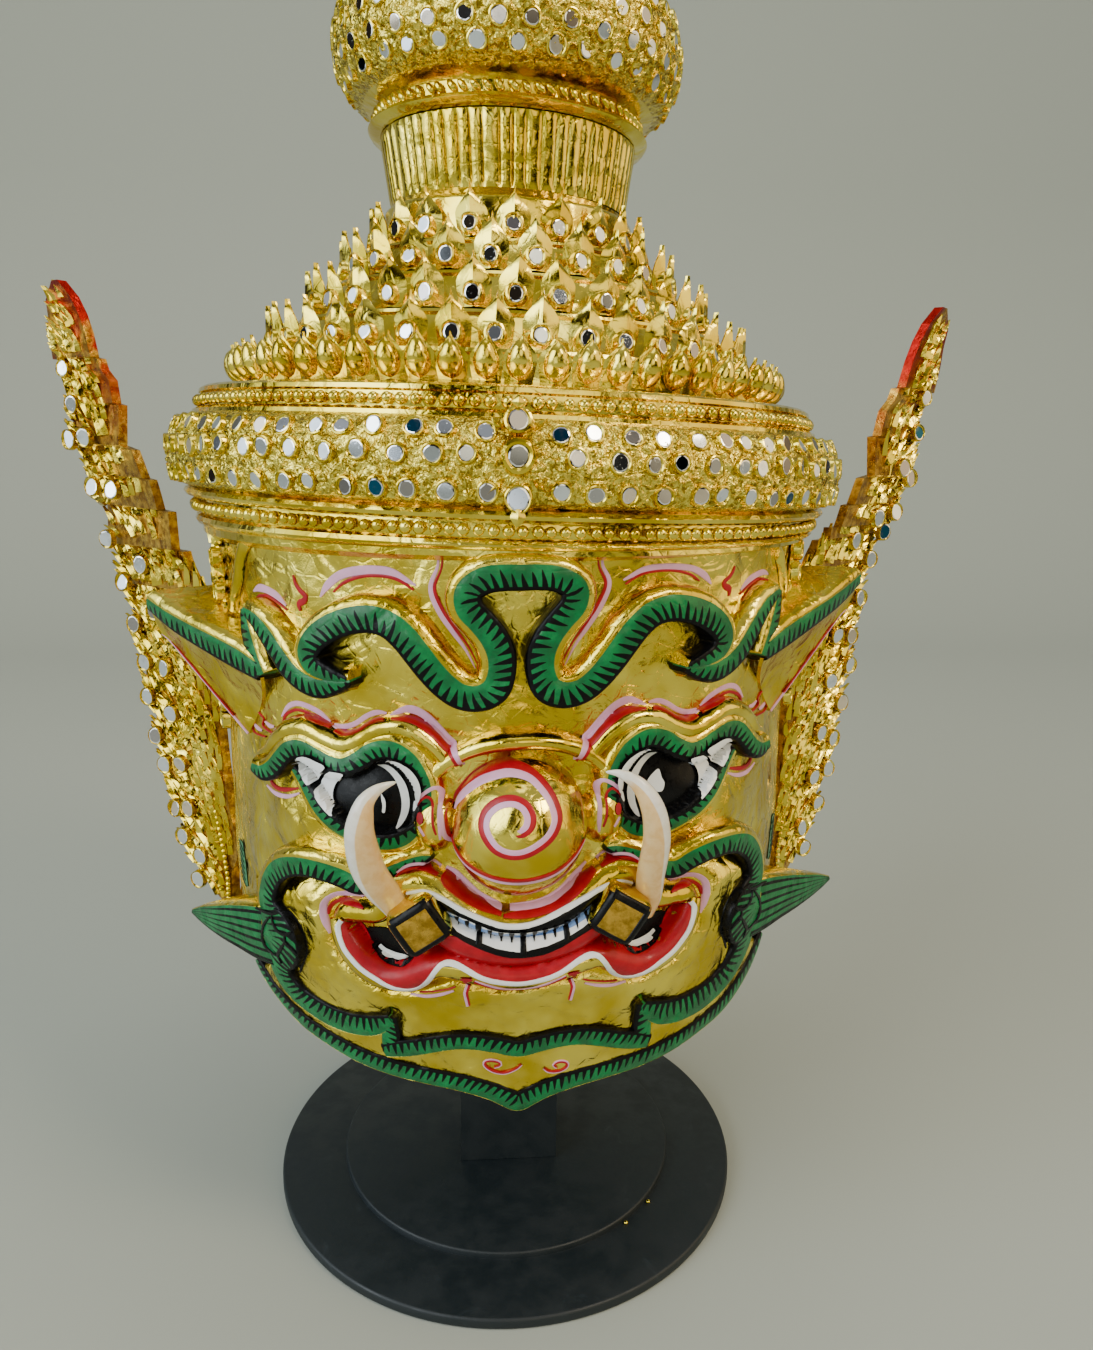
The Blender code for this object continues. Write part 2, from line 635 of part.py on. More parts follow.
ear_right = ear_plate(1, "ear_ornament_right")
ear_left = ear_plate(-1, "ear_ornament_left")
for one in (ear_left, ear_right):
    paint(one, (0.78, 0.52, 0.12), 0.3, 1.0)

spire = turned("spire", [(r, SPIRE_FOOT_Z + rise) for r, rise in SPIRE], SPIRE_SIDES, True)
paint(spire, (0.83, 0.58, 0.14), 0.25, 1.0, 50)

stand_base = turned("stand_base", (
    (BASE_RADIUS - 0.8, 0), (BASE_RADIUS, 0.8), (BASE_RADIUS, BASE_HEIGHT - 0.6),
    (BASE_RADIUS - 0.6, BASE_HEIGHT), (STEP_RADIUS, BASE_HEIGHT),
    (STEP_RADIUS, BASE_HEIGHT + STEP_HEIGHT - 0.6),
    (STEP_RADIUS - 0.6, BASE_HEIGHT + STEP_HEIGHT)), 36, False)
paint(stand_base, (0.02, 0.03, 0.035), 0.5, 0.0)

half_side = POST_SIDE / 2
post_foot = BASE_HEIGHT + STEP_HEIGHT + GAP
post_top = CEILING_Z - GAP - half_side * abs(CROWN_LEAN)
stand_post = solid(
    "stand_post",
    [(sx * half_side, sy * half_side, z) for z in (post_foot, post_top)
     for sx, sy in ((-1, -1), (1, -1), (1, 1), (-1, 1))],
    [(0, 1, 2, 3), (4, 5, 6, 7), (0, 1, 5, 4), (1, 2, 6, 5), (2, 3, 7, 6), (3, 0, 4, 7)])
paint(stand_post, (0.015, 0.02, 0.025), 0.5, 0.0)
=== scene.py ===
"""Looks of the gilded demon mask: relief, paint, mirrors, beads and finishes on its frame."""
import math

import bmesh
import bpy
import numpy as np
from mathutils import Matrix, Vector, noise
from mathutils.bvhtree import BVHTree
from mathutils.geometry import delaunay_2d_cdt


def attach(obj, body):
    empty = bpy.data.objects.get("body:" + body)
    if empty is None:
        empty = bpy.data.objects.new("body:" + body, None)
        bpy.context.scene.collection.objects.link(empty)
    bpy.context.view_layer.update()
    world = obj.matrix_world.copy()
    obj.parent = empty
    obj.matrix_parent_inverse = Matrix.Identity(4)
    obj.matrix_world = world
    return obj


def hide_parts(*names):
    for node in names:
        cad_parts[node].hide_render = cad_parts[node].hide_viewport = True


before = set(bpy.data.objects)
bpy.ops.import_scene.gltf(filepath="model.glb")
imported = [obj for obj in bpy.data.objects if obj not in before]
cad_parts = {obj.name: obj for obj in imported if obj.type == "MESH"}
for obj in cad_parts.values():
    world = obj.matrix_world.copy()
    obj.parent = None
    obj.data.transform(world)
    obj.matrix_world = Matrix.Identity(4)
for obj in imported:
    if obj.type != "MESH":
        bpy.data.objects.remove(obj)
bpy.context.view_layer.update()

MM = 0.001
PHOTO_HEIGHT_PX = 1350
FOCAL_PX = 977.0
FACE_LEAN = 0.034            # hand-made slant of the face, left side lower
CROWN_LEAN = -0.0293         # opposite slant of the crown
PER_DEGREE = 1.98            # millimetres per degree of angle on the face
SHELL_TOP = 303              # height where the face meets the crown

# head sections: height, half width, front depth, roundness exponent
HEAD = (
    (65, 96, 100, 2.15), (85, 101, 102, 2.15), (100, 105, 104, 2.15), (115, 109, 106, 2.15),
    (130, 112, 108, 2.15), (152, 115, 110, 2.15), (175, 116, 111.5, 2.15), (205, 116, 111.5, 2.12),
    (235, 116, 112, 2.1), (265, 117, 114.5, 2.05), (295, 118, 117.5, 2), (335, 119, 119, 2),
)
# lower edge of the mask: angle from the front, height
RIM = (
    (0, 96.5), (4.8, 103), (10.3, 106.5), (16.1, 108.5), (27.6, 111.5), (38.9, 116), (44.6, 118.7),
    (50, 123), (54.8, 128.5), (62, 134), (75, 139), (90, 142), (180, 142),
)


def at_lift(lift, rows):
    """Rows of a band that stands out equally far all along."""
    return tuple((*row, lift) for row in rows)


# raised bands of the face: angle, height, half width of the painted face, how far it stands out
BROW_WING = (
    (69.8, 278, 2.6, 26), (65, 273, 3.2, 20.5), (60, 269, 3.5, 15.5), (55, 265.5, 3.8, 11.5),
    (50, 262, 3.8, 8.5), (45.2, 258.6, 3, 7),
)
BROW_RISE = at_lift(7, (
    (44.8, 257.5, 2.6), (46.2, 262.6, 3), (47.2, 268, 3), (47.9, 273, 2.6), (48.3, 280, 1.2),
))
BROW_FALL = at_lift(7, (
    (48.2, 279.5, 1.2), (45, 276.4, 2.6), (42.4, 271.9, 3.2), (40.1, 266.9, 3.4), (37.9, 261.8, 3.6),
    (35.2, 258, 3.6), (32, 256.3, 3.4), (28.6, 257.4, 2.2), (25.8, 259.4, 0.8),
))
BROW_ARCH = at_lift(7, (
    (26.4, 260.2, 1), (29.3, 261.4, 2.2), (32.2, 263.6, 3.2), (33.2, 267.2, 3.7), (32.3, 271.4, 4),
    (30.2, 275.1, 4.2), (27.6, 277.9, 4.2), (24.7, 279.7, 4.2), (21.8, 280.1, 4.2), (19.1, 278.3, 4.2),
    (16.8, 274.1, 4.2), (15, 269.1, 4.2), (13.3, 264, 4.2), (11.4, 259.2, 4.2), (9.1, 255.6, 4.2),
    (6.3, 254.8, 4.2), (3.9, 257.3, 4.2), (2.9, 262.5, 3.9), (2.9, 268.6, 3.9), (3.9, 274.2, 3.9),
    (5.6, 279.1, 3.8), (7.4, 283.7, 3.8), (7.4, 288.6, 3.8), (5.2, 291.8, 3.9), (2.6, 292.6, 3.9),
    (0, 292.6, 3.9),
))
LID_UP = (
    (50.1, 222.4, 1.6, 6), (47, 221.8, 2.6, 6), (44.2, 224.2, 3.2, 6), (42.1, 228.3, 3.2, 6),
    (39.8, 232.4, 3.2, 6), (37.1, 233.6, 3.2, 6), (34.2, 231.9, 3.2, 6), (31.3, 229.9, 3.2, 6),
    (28.5, 229.6, 3.2, 6), (25.8, 232.3, 3.2, 6), (23.4, 235.6, 3.2, 6), (20.6, 236.6, 3.2, 6),
    (18, 234, 3, 6), (16.2, 229.4, 2.6, 6), (15.1, 223.7, 2.2, 6), (15.1, 215.6, 1.6, 5.5),
)
LID_LOW = at_lift(4.5, (
    (39.4, 226.2, 1.2), (37.2, 223, 1.8), (34.9, 219.2, 2.2), (32.8, 215.6, 2.4), (30.8, 212.4, 2.5),
    (28.9, 209.6, 2.6), (26, 206.6, 2.7), (23.3, 205, 2.7), (21, 204.9, 2.6), (18.8, 206.4, 2.4),
    (16.9, 209.6, 1.8), (15.8, 212.8, 1.2),
))
JAW = (
    (14.4, 199.6, 0.6, 4), (15.8, 198.9, 1.6, 5), (17.8, 197.6, 1.8, 5.5), (20.2, 195.3, 2, 6),
    (22.6, 191.8, 2.4, 6), (24.6, 189.6, 2.9, 6.5), (26.6, 189.4, 3.2, 7), (29.2, 191.6, 3.6, 7.5),
    (32.6, 193.3, 3.8, 8), (36.2, 193.4, 3.8, 8), (39.8, 191.3, 3.8, 8), (42.8, 187.2, 3.8, 8),
    (44.8, 181.6, 3.9, 8), (45.6, 175, 4.4, 8), (44, 168.5, 7.2, 8.5), (42.6, 162.5, 9.2, 9),
    (43.2, 156.5, 8.2, 8.5), (44.2, 151.4, 5.8, 8), (44.1, 145.6, 5, 7.5), (41.9, 139.4, 5.1, 7),
    (38.4, 135.2, 5.1, 6.5), (34.3, 132.9, 5.1, 6.5), (29.9, 132.2, 4.9, 6.5), (25.8, 133.6, 4.4, 6.5),
    (22, 137.8, 2.2, 6.5),
)
JAW_DROP = at_lift(6.3, ((21.9, 139, 1.4), (22.3, 133.3, 2.8), (22.6, 128, 3.2), (23.2, 121.4, 2.4)))
CHIN = at_lift(6.5, (
    (24.2, 122.6, 2.6), (21.8, 124.2, 3.3), (18.6, 126, 3.4), (15.2, 128.3, 3.4), (11.4, 130.2, 3.3),
    (7.5, 130.4, 3.3), (3.6, 128.9, 3.3), (0, 127.2, 3.3),
))
LIP_LOW = (
    (31, 175.5, 2, 6), (29.7, 169, 3.4, 7.5), (27.4, 162.6, 4.3, 8.5), (24.8, 158.4, 4.6, 9),
    (21.7, 156.3, 4.6, 9), (18.5, 157.2, 4.4, 9), (15.6, 160.6, 4, 9), (12.8, 163.6, 3.9, 9),
    (9.9, 163.2, 4.2, 9), (6.6, 161.1, 4.3, 9), (3.1, 159.4, 4.3, 9), (0, 159, 4.3, 9),
)
LIP_UP = (
    (31.2, 172.5, 1.6, 4), (29.6, 176.4, 2.6, 5.5), (26.4, 177.9, 2.8, 6.5), (22.6, 180.2, 3.2, 8),
    (20, 188.4, 3.4, 8), (17.4, 191.2, 3.4, 8), (14, 190.2, 3.4, 8), (10.8, 185.8, 3, 8),
    (7.4, 181, 2.8, 8), (3.6, 178.5, 2.8, 8), (0, 177.7, 2.8, 8),
)
LID_FOLD = (
    (49.6, 227.2, 1, 4), (46.6, 230.2, 1.8, 5), (43.6, 235.6, 2.3, 6), (40.4, 239.6, 2.6, 6.5),
    (36.8, 240.9, 2.6, 6.5), (33, 238.6, 2.6, 6.5), (29.2, 236.8, 2.6, 6.5), (25.8, 239.4, 2.6, 6.5),
    (22.6, 243, 2.6, 6.5), (19.2, 244, 2.6, 6.5), (15.8, 241.3, 2.5, 6.5), (13, 236, 2.2, 6),
    (11, 230, 1.6, 5),
)
NOSE_FOLD = (
    (16.2, 221.5, 1.4, 4), (13.2, 229.5, 1.9, 5.5), (9.2, 235.4, 2.1, 6.5), (4.6, 238.6, 2.2, 7),
    (0, 239.4, 2.2, 7),
)
JAW_WING = (
    (70.5, 152.3, 0.9, 25), (66, 154.2, 3.9, 20), (61, 156, 6.3, 15.5), (56, 157.8, 8.4, 12),
    (51, 159, 10.4, 9.5), (46.5, 160, 11.4, 8),
)
RIM_BAND = at_lift(5, (
    (55.4, 141.5, 2.2), (53.6, 137.2, 2.9), (51.3, 133, 3.1), (48.6, 129.4, 3.2), (45.4, 125.8, 3.3),
    (42, 122.8, 3.3), (37, 120.1, 3.3), (30, 116.5, 3.4), (23, 114.2, 3.4), (16.1, 112.6, 3.4),
    (10.3, 110.7, 3.5), (5.2, 107.6, 3.6), (2, 104.4, 3.8), (0, 102.6, 4),
))
ROD = ((48.6, 300.5), (51.4, 297.6), (53.4, 293), (54.6, 288.4), (56.4, 283.2), (58, 277))
TEETH_RIDGE = (
    (16, 181.5, 2, 6), (13.4, 178, 4.2, 7), (10.6, 174.2, 5.2, 7.4), (7.2, 170.8, 5.4, 7.6),
    (3.5, 168.9, 5.4, 7.6), (0, 168.4, 5.4, 7.6),
)

# tusks from root to tip: sideways, forward, height, half thickness
TUSKS = {
    1: ((36.6, 112.4, 176.2, 4.3), (40.6, 113.4, 182.6, 4.6), (42.5, 114.6, 186.1, 4.9),
        (45.9, 117.6, 192.2, 5.3), (48.5, 120.6, 198.7, 5.5), (50, 123.8, 206.5, 5.4),
        (50.6, 126.6, 214.5, 4.8), (49.8, 128, 220.4, 4), (48.4, 128.2, 225.1, 3),
        (45.7, 127.4, 228.1, 2.1), (42.7, 126.2, 229.5, 1.3), (39, 124.6, 230.2, 0.4)),
    -1: ((41.8, 112, 175.6, 4.4), (43.5, 114.2, 182.2, 4.6), (43.3, 118.6, 191.7, 4.8),
         (43.6, 122.4, 200.1, 4.7), (43.6, 125.2, 207.8, 4.5), (42.5, 127, 215.1, 4.1),
         (40.7, 127.8, 220.4, 3.6), (38.3, 127.6, 224.7, 2.9), (34.9, 127, 228.1, 2.1),
         (30.7, 125.8, 230, 1.25), (26.7, 124.6, 230.3, 0.4)),
}

# petal rows from the lowest: count, foot radius, foot height, length of a petal
PETALS = (
    (63, 104.8, 350, 13.6), (41, 92, 360.4, 18), (33, 76.8, 374.6, 18), (27, 63.3, 388.8, 17.5),
    (21, 51.4, 401.2, 17),
)


def eased(low, high, value):
    """Smooth rise from 0 at low to 1 at high."""
    part = np.clip((value - low) / (high - low), 0, 1)
    return part * part * (3 - 2 * part)


def hill(value, middle, width):
    """Bell curve of height 1."""
    return np.exp(-((value - middle) / width) ** 2)


def unit(vectors):
    """Vectors scaled to length 1."""
    return vectors / np.linalg.norm(vectors, axis=-1, keepdims=True)


def full_turn(count):
    """Even angles all the way round."""
    return np.linspace(0, 2 * math.pi, count, endpoint=False)


def read(rows, keys, column):
    """Smooth curve through one column of a table, read at the keys."""
    data = np.array(rows, float)
    x, y = data[:, 0], data[:, column]
    slope = np.gradient(y, x)
    keys = np.clip(np.asarray(keys, float), x[0], x[-1])
    k = np.clip(np.searchsorted(x, keys) - 1, 0, len(x) - 2)
    width = x[k + 1] - x[k]
    t = (keys - x[k]) / width
    a, b = 2 * t ** 3 - 3 * t ** 2 + 1, t ** 3 - 2 * t ** 2 + t
    return (a * y[k] + b * width * slope[k] + (1 - a) * y[k + 1]
            + (t ** 3 - t ** 2) * width * slope[k + 1])


def rim_height(angle):
    """Lower edge of the mask at an angle."""
    data = np.array(RIM, float)
    return np.interp(np.abs(angle), data[:, 0], data[:, 1])


def face_relief(angle, z):
    """How far the plain forms of the face stand out from the helmet."""
    side = np.abs(angle)
    muzzle = 6.0 * hill(side, 0, 27) * hill(z, 168, 24)
    cheek = 4.5 * hill(side, 37, 11) * hill(z, 205, 13)
    eye = 3.6 * hill(side, 26.5, 9) * hill(z, 217, 11)
    forehead = 2.0 * hill(side, 22, 18) * hill(z, 268, 14)
    bridge = 3.0 * hill(side, 0, 7) * hill(z, 245, 12)
    return muzzle + cheek + eye + forehead + bridge


def leaned(points):
    """Points of the mask after its hand-made slant."""
    points = np.array(points, float)
    x, z = points[..., 0], points[..., 2]
    face = eased(120, 150, z) * (1 - eased(283, 303, z))
    crown = eased(290, 310, z)
    points[..., 2] = z + x * (FACE_LEAN * face + CROWN_LEAN * crown)
    return points


def on_face(angle, z, lift=0.0):
    """Points above the face; angles grow to the viewer's right."""
    angle, z = np.asarray(angle, float), np.asarray(z, float)
    width, depth, power = (read(HEAD, z, k) for k in (1, 2, 3))
    turn = np.radians(angle)
    reach = (np.abs(np.sin(turn) / width) ** power
             + np.abs(np.cos(turn) / depth) ** power) ** (-1 / power)
    reach = reach + face_relief(angle, z) + lift
    return leaned(np.stack([reach * np.sin(turn), -reach * np.cos(turn), z], -1))


def around(radius, turn, z):
    """Points of the crown; turn in radians from the front."""
    radius, turn, z = np.broadcast_arrays(radius, turn, z)
    return leaned(np.stack([radius * np.sin(turn), -radius * np.cos(turn), z], -1))


class Heap:
    """Points, faces and values of one mesh while it is gathered, in millimetres."""

    def __init__(self, *values):
        self.points, self.faces, self.slots, self.count = [], [], [], 0
        self.values = {name: [] for name in values}

    def add(self, points, faces, slot=0, **values):
        """Take in one more part; slot is its place in the list of materials."""
        points = np.asarray(points, float).reshape(-1, 3)
        self.points.append(points)
        self.faces += [tuple(i + self.count for i in face) for face in faces]
        self.slots += [slot] * len(faces)
        for name, held in self.values.items():
            held.append(np.broadcast_to(values.get(name, 0.0), (len(points),)))
        self.count += len(points)

    def piece(self, name, slot, materials, angle=40):
        """Make the object; edges sharper than the angle in degrees stay sharp."""
        mesh = bpy.data.meshes.new(name)
        points = np.concatenate(self.points) * MM
        mesh.from_pydata(points.tolist(), [], self.faces)
        for material in materials:
            mesh.materials.append(material)
        mesh.polygons.foreach_set("material_index", self.slots)
        for value, held in self.values.items():
            layer = mesh.attributes.new(value, "FLOAT", "POINT")
            layer.data.foreach_set("value", np.concatenate(held).astype(np.float32))
        work = bmesh.new()
        work.from_mesh(mesh)
        bmesh.ops.recalc_face_normals(work, faces=work.faces)
        work.to_mesh(mesh)
        work.free()
        mesh.shade_smooth()
        mesh.set_sharp_from_angle(angle=math.radians(angle))
        thing = bpy.data.objects.new(name, mesh)
        bpy.context.collection.objects.link(thing)
        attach(thing, "root")
        return thing


def grid(rows, columns, closed=False):
    """Quads of a grid of points stored row by row; closed joins its last column to the first."""
    faces = []
    for r in range(rows - 1):
        for c in range(columns if closed else columns - 1):
            d = (c + 1) % columns
            faces.append((r * columns + c, r * columns + d, (r + 1) * columns + d, (r + 1) * columns + c))
    return faces


def capped(rows, columns, closed=True):
    """Faces of a grid that is closed at both ends."""
    return grid(rows, columns, closed) + [tuple(range(columns)),
                                          tuple(range(columns * (rows - 1), columns * rows))]


def sample(rows, spacing):
    """Even points along a smooth curve through the rows of a path."""
    data = np.array(rows, float)
    last = len(data) - 1
    t = np.arange(8) / 8
    dense = []
    for k in range(last):
        a, b = data[max(k - 1, 0)], data[k]
        c, d = data[k + 1], data[min(k + 2, last)]
        u = t[:, None]
        dense.append(0.5 * (2 * b + (c - a) * u + (2 * a - 5 * b + 4 * c - d) * u ** 2
                            + (3 * b - a - 3 * c + d) * u ** 3))
    dense = np.concatenate(dense + [data[-1:]])
    flat = dense[:, :2] * (PER_DEGREE, 1)
    length = np.concatenate([[0], np.cumsum(np.linalg.norm(np.diff(flat, axis=0), axis=1))])
    count = max(int(length[-1] / spacing), 2)
    steps = np.linspace(0, length[-1], count + 1)
    return np.stack([np.interp(steps, length, dense[:, k]) for k in range(dense.shape[1])], -1), steps


def spanning(rows):
    """Path from one side to the mirrored end on the other side."""
    return tuple(rows) + tuple((-row[0], *row[1:]) for row in reversed(rows[:-1]))


def across_path(path):
    """Positions in millimetres and unit vectors to the right of a path on the face."""
    spots = path[:, :2] * (PER_DEGREE, 1)
    run = np.gradient(spots, axis=0)
    run /= np.maximum(np.linalg.norm(run, axis=1), 1e-6)[:, None]
    return spots, np.stack([run[:, 1], -run[:, 0]], -1)


def bend_limits(spots, across):
    """How far the offsets may go each way before neighbouring sections cross."""
    low, high = np.full(len(spots), -99.0), np.full(len(spots), 99.0)
    run = np.diff(spots, axis=0)
    closing = (np.diff(across, axis=0) * run).sum(1) / np.maximum((run ** 2).sum(1), 1e-9)
    for k, value in enumerate(closing):
        for m in (k, k + 1):
            if value < -0.001:
                high[m] = min(high[m], -0.9 / value)
            if value > 0.001:
                low[m] = max(low[m], -0.9 / value)
    return low, high


ENAMEL, FOLD, LIP, WING = range(4)
ROUNDED = {FOLD: (13, 1.4, 0, 0.75), LIP: (15, 1.6, 0.6, 0.7)}      # points, extra width, shift, fullness
BAND_STEP, STROKE_STEP, PAINT_STEP = 0.9, 0.8, 1.3
RAY_START, RAY_LENGTH = 90, 140


def band_profile(half, lift, style, slope):
    """Section of a band: sideways, height, and distance from the black edge."""
    if style in ROUNDED:
        count, extra, shift, fullness = ROUNDED[style]
        turns = np.linspace(0, math.pi, count)
        sideways = -np.cos(turns) * (half + extra) + shift
        height = -2 + (lift + 2) * np.sin(turns) ** fullness
        return np.stack([sideways, height, sideways + half], -1)
    rows = (
        (-half - 0.6, -2.0), (-half - 0.45, lift * 0.4), (-half - 0.3, lift - 1.0),
        (-half - 0.02, lift - 0.32), (-half + 0.5, lift), (-half * 0.4, lift + 0.12),
        (half * 0.3, lift + 0.14), (half - 0.35, lift), (half, lift - 0.2),
        (half + 0.5 * slope, lift - 0.12), (half + 1.3 * slope, lift - 0.35),
        (half + 2.2 * slope, lift - 1.1), (half + 3.0 * slope, lift - 2.5),
        (half + 3.5 * slope, lift - 4.3), (half + 4.0 * slope, -2.0),
    )
    data = np.array(rows)
    return np.column_stack([data, data[:, 0] + half])


def add_band(heap, rows, shoulder, side, style):
    """Raised band along a path; side 1 is the viewer's left and -1 the right."""
    path, along = sample(rows, BAND_STEP)
    spots, across = across_path(path)
    across = across * (shoulder if shoulder else 1)
    low, high = bend_limits(spots, across)
    points, edge, run, width = [], [], [], []
    for k, (_, _, half, lift) in enumerate(path):
        section = band_profile(half, lift, style, 0.3 + 0.7 * float(eased(150, 172, path[k, 1])))
        offset = np.clip(section[:, 0], low[k], high[k])
        spot = spots[k] + across[k] * offset[:, None]
        points.append(on_face(-side * spot[:, 0] / PER_DEGREE, spot[:, 1], section[:, 1]))
        edge.append(section[:, 2])
        run.append(np.full(len(section), along[k]))
        width.append(np.full(len(section), 2 * half))
    heap.add(np.concatenate(points), capped(len(path), len(points[0]), False), style,
             edge=np.concatenate(edge), along=np.concatenate(run), wide=np.concatenate(width))


def ball(middle, radii, columns, rows, power=2.0):
    """Rounded body as points and faces; a higher power squares it."""
    tilt = np.linspace(-math.pi / 2, math.pi / 2, rows + 1)[:, None]
    spin = full_turn(columns)[None, :]
    shape = np.stack(np.broadcast_arrays(
        np.cos(tilt) * np.cos(spin), np.cos(tilt) * np.sin(spin), np.sin(tilt)), -1)
    shape = shape / (np.abs(shape) ** power).sum(-1, keepdims=True) ** (1 / power)
    return (shape * np.array(radii)).reshape(-1, 3) + np.array(middle), grid(rows + 1, columns, True)


# materials

class Nodes:
    """Short calls for building one material's nodes."""

    def __init__(self, name):
        self.material = bpy.data.materials.new(name)
        self.material.use_nodes = True
        self.tree = self.material.node_tree
        self.shader = self.tree.nodes["Principled BSDF"]

    def feed(self, socket, value):
        """Link a socket, or set a colour or a number."""
        if isinstance(value, bpy.types.NodeSocket):
            self.tree.links.new(value, socket)
        elif socket.type == "RGBA":
            socket.default_value = (*value, 1)
        else:
            socket.default_value = value

    def math(self, operation, a, b=0.0):
        made = self.tree.nodes.new("ShaderNodeMath")
        made.operation = operation
        self.feed(made.inputs[0], a)
        self.feed(made.inputs[1], b)
        return made.outputs[0]

    def times(self, a, b):
        return self.math("MULTIPLY", a, b)

    def plus(self, a, b):
        return self.math("ADD", a, b)

    def minus(self, a, b):
        return self.math("SUBTRACT", a, b)

    def value(self, name):
        """A value that the mesh holds for each point."""
        made = self.tree.nodes.new("ShaderNodeAttribute")
        made.attribute_name = name
        return made.outputs["Fac"]

    def place(self):
        return self.tree.nodes.new("ShaderNodeTexCoord").outputs["Object"]

    def noise(self, scale, detail=4.0, rough=0.55, distortion=0.0):
        made = self.tree.nodes.new("ShaderNodeTexNoise")
        self.feed(made.inputs["Vector"], self.place())
        for key, value in (("Scale", scale), ("Detail", detail), ("Roughness", rough),
                           ("Distortion", distortion)):
            made.inputs[key].default_value = value
        return made.outputs[0]

    def creases(self, scale):
        """Distance to the edges of irregular cells."""
        made = self.tree.nodes.new("ShaderNodeTexVoronoi")
        made.feature = "DISTANCE_TO_EDGE"
        self.feed(made.inputs["Vector"], self.place())
        made.inputs["Scale"].default_value = scale
        return made.outputs["Distance"]

    def ramp(self, value, low, high, start=0.0, end=1.0):
        """Smooth change from start at low to end at high."""
        made = self.tree.nodes.new("ShaderNodeMapRange")
        made.interpolation_type = "SMOOTHSTEP"
        self.feed(made.inputs["Value"], value)
        for key, given in (("From Min", low), ("From Max", high), ("To Min", start),
                           ("To Max", end)):
            made.inputs[key].default_value = given
        return made.outputs["Result"]

    def mix(self, part, a, b):
        made = self.tree.nodes.new("ShaderNodeMix")
        made.data_type = "RGBA"
        self.feed(made.inputs[0], part)
        self.feed(made.inputs[6], a)
        self.feed(made.inputs[7], b)
        return made.outputs[2]

    def bump(self, height, strength, distance, below=None):
        made = self.tree.nodes.new("ShaderNodeBump")
        made.inputs["Strength"].default_value = strength
        made.inputs["Distance"].default_value = distance
        self.feed(made.inputs["Height"], height)
        if below is not None:
            self.feed(made.inputs["Normal"], below)
        return made.outputs[0]

    def finish(self, **inputs):
        """Set the shader's inputs, with _ for a space in a name, and give the material."""
        for key, value in inputs.items():
            self.feed(self.shader.inputs[key.replace("_", " ")], value)
        return self.material


GOLD_BRIGHT = (0.93, 0.76, 0.11)
GOLD_DEEP = (0.62, 0.44, 0.02)
GREEN_PAINT = (0.0, 0.20, 0.05)
BLACK_PAINT = (0.003, 0.003, 0.0035)
RED_PAINT = (0.42, 0.002, 0.012)
PINK_PAINT = (0.79, 0.42, 0.62)
WHITE_PAINT = (0.86, 0.87, 0.86)


def foil_nodes(n, crinkle):
    """Colour, roughness and normal of wrinkled gold foil."""
    patches = n.noise(38, 3)
    fine = n.noise(420, 3)
    colour = n.mix(n.ramp(patches, 0.35, 0.68), GOLD_DEEP, GOLD_BRIGHT)
    colour = n.mix(n.ramp(fine, 0.62, 0.8, 0.0, 0.35), colour, (0.42, 0.24, 0.02))
    rough = n.ramp(n.noise(160, 4), 0.3, 0.75, 0.05, 0.22)
    waves = n.noise(70, 2, 0.5, 0.6)
    normal = n.bump(waves, 0.6 * crinkle, 0.0055)
    normal = n.bump(n.ramp(n.creases(170), 0.0, 0.09), 0.16 * crinkle, 0.0007, normal)
    normal = n.bump(n.noise(750, 5, 0.65, 1.2), 0.22 * crinkle, 0.0006, normal)
    return colour, rough, normal


def gold_foil(name, crinkle=1.0):
    """Wrinkled gold foil; a low crinkle makes it smoother."""
    n = Nodes(name)
    colour, rough, normal = foil_nodes(n, crinkle)
    return n.finish(Base_Color=colour, Roughness=rough, Metallic=1.0, Normal=normal)


def gold_edge(name, tone=0.0):
    """Brown gold paint of plain leather, red towards the tips; tone above 0 is even and dull."""
    n = Nodes(name)
    height = n.tree.nodes.new("ShaderNodeSeparateXYZ")
    n.feed(height.inputs[0], n.place())
    grain = n.noise(300, 5, 0.65)
    dark = (0.24 + tone * 0.2, 0.10 + tone * 0.18, 0.012)
    colour = n.mix(n.ramp(grain, 0.35, 0.65), dark, (0.66, 0.40, 0.06))
    if not tone:
        red = n.times(n.ramp(height.outputs[2], 0.32, 0.37), n.ramp(n.noise(60, 3), 0.42, 0.55))
        colour = n.mix(red, colour, (0.30, 0.008, 0.005))
    return n.finish(Base_Color=colour, Roughness=n.ramp(n.noise(200, 4), 0.3, 0.7, 0.22, 0.42),
                    Metallic=0.95, Normal=n.bump(grain, 0.4, 0.0012))


def gold_paste(name):
    """Gold over thick lacquer paste, with painted shade darkening its pits."""
    n = Nodes(name)
    fine = n.noise(520, 3, 0.6, 1.0)
    # painted shade: darker gold where the fine bump is low
    colour = n.mix(n.ramp(fine, 0.35, 0.62), (0.30, 0.19, 0.01), GOLD_BRIGHT)
    normal = n.bump(n.noise(330, 2, 0.5, 2.0), 0.55, 0.0016)
    normal = n.bump(fine, 0.35, 0.0007, normal)
    return n.finish(Base_Color=colour, Roughness=n.ramp(n.noise(300, 3), 0.3, 0.7, 0.12, 0.28),
                    Metallic=1.0, Normal=normal)


def enamel(name, colour, low=0.8, rough=0.28, gloss=0.35):
    """Hand-brushed gloss paint of one colour."""
    n = Nodes(name)
    darker = tuple(c * low for c in colour)
    mixed = n.mix(n.ramp(n.noise(260, 4), 0.35, 0.7), darker, colour)
    normal = n.bump(n.noise(900, 3, 0.5, 0.8), 0.12, 0.0005)
    return n.finish(Base_Color=mixed, Roughness=n.ramp(n.noise(500, 2), 0.3, 0.7, rough, rough + 0.15),
                    Normal=normal, Coat_Weight=gloss, Coat_Roughness=0.15,
                    Specular_IOR_Level=0.15 + gloss)


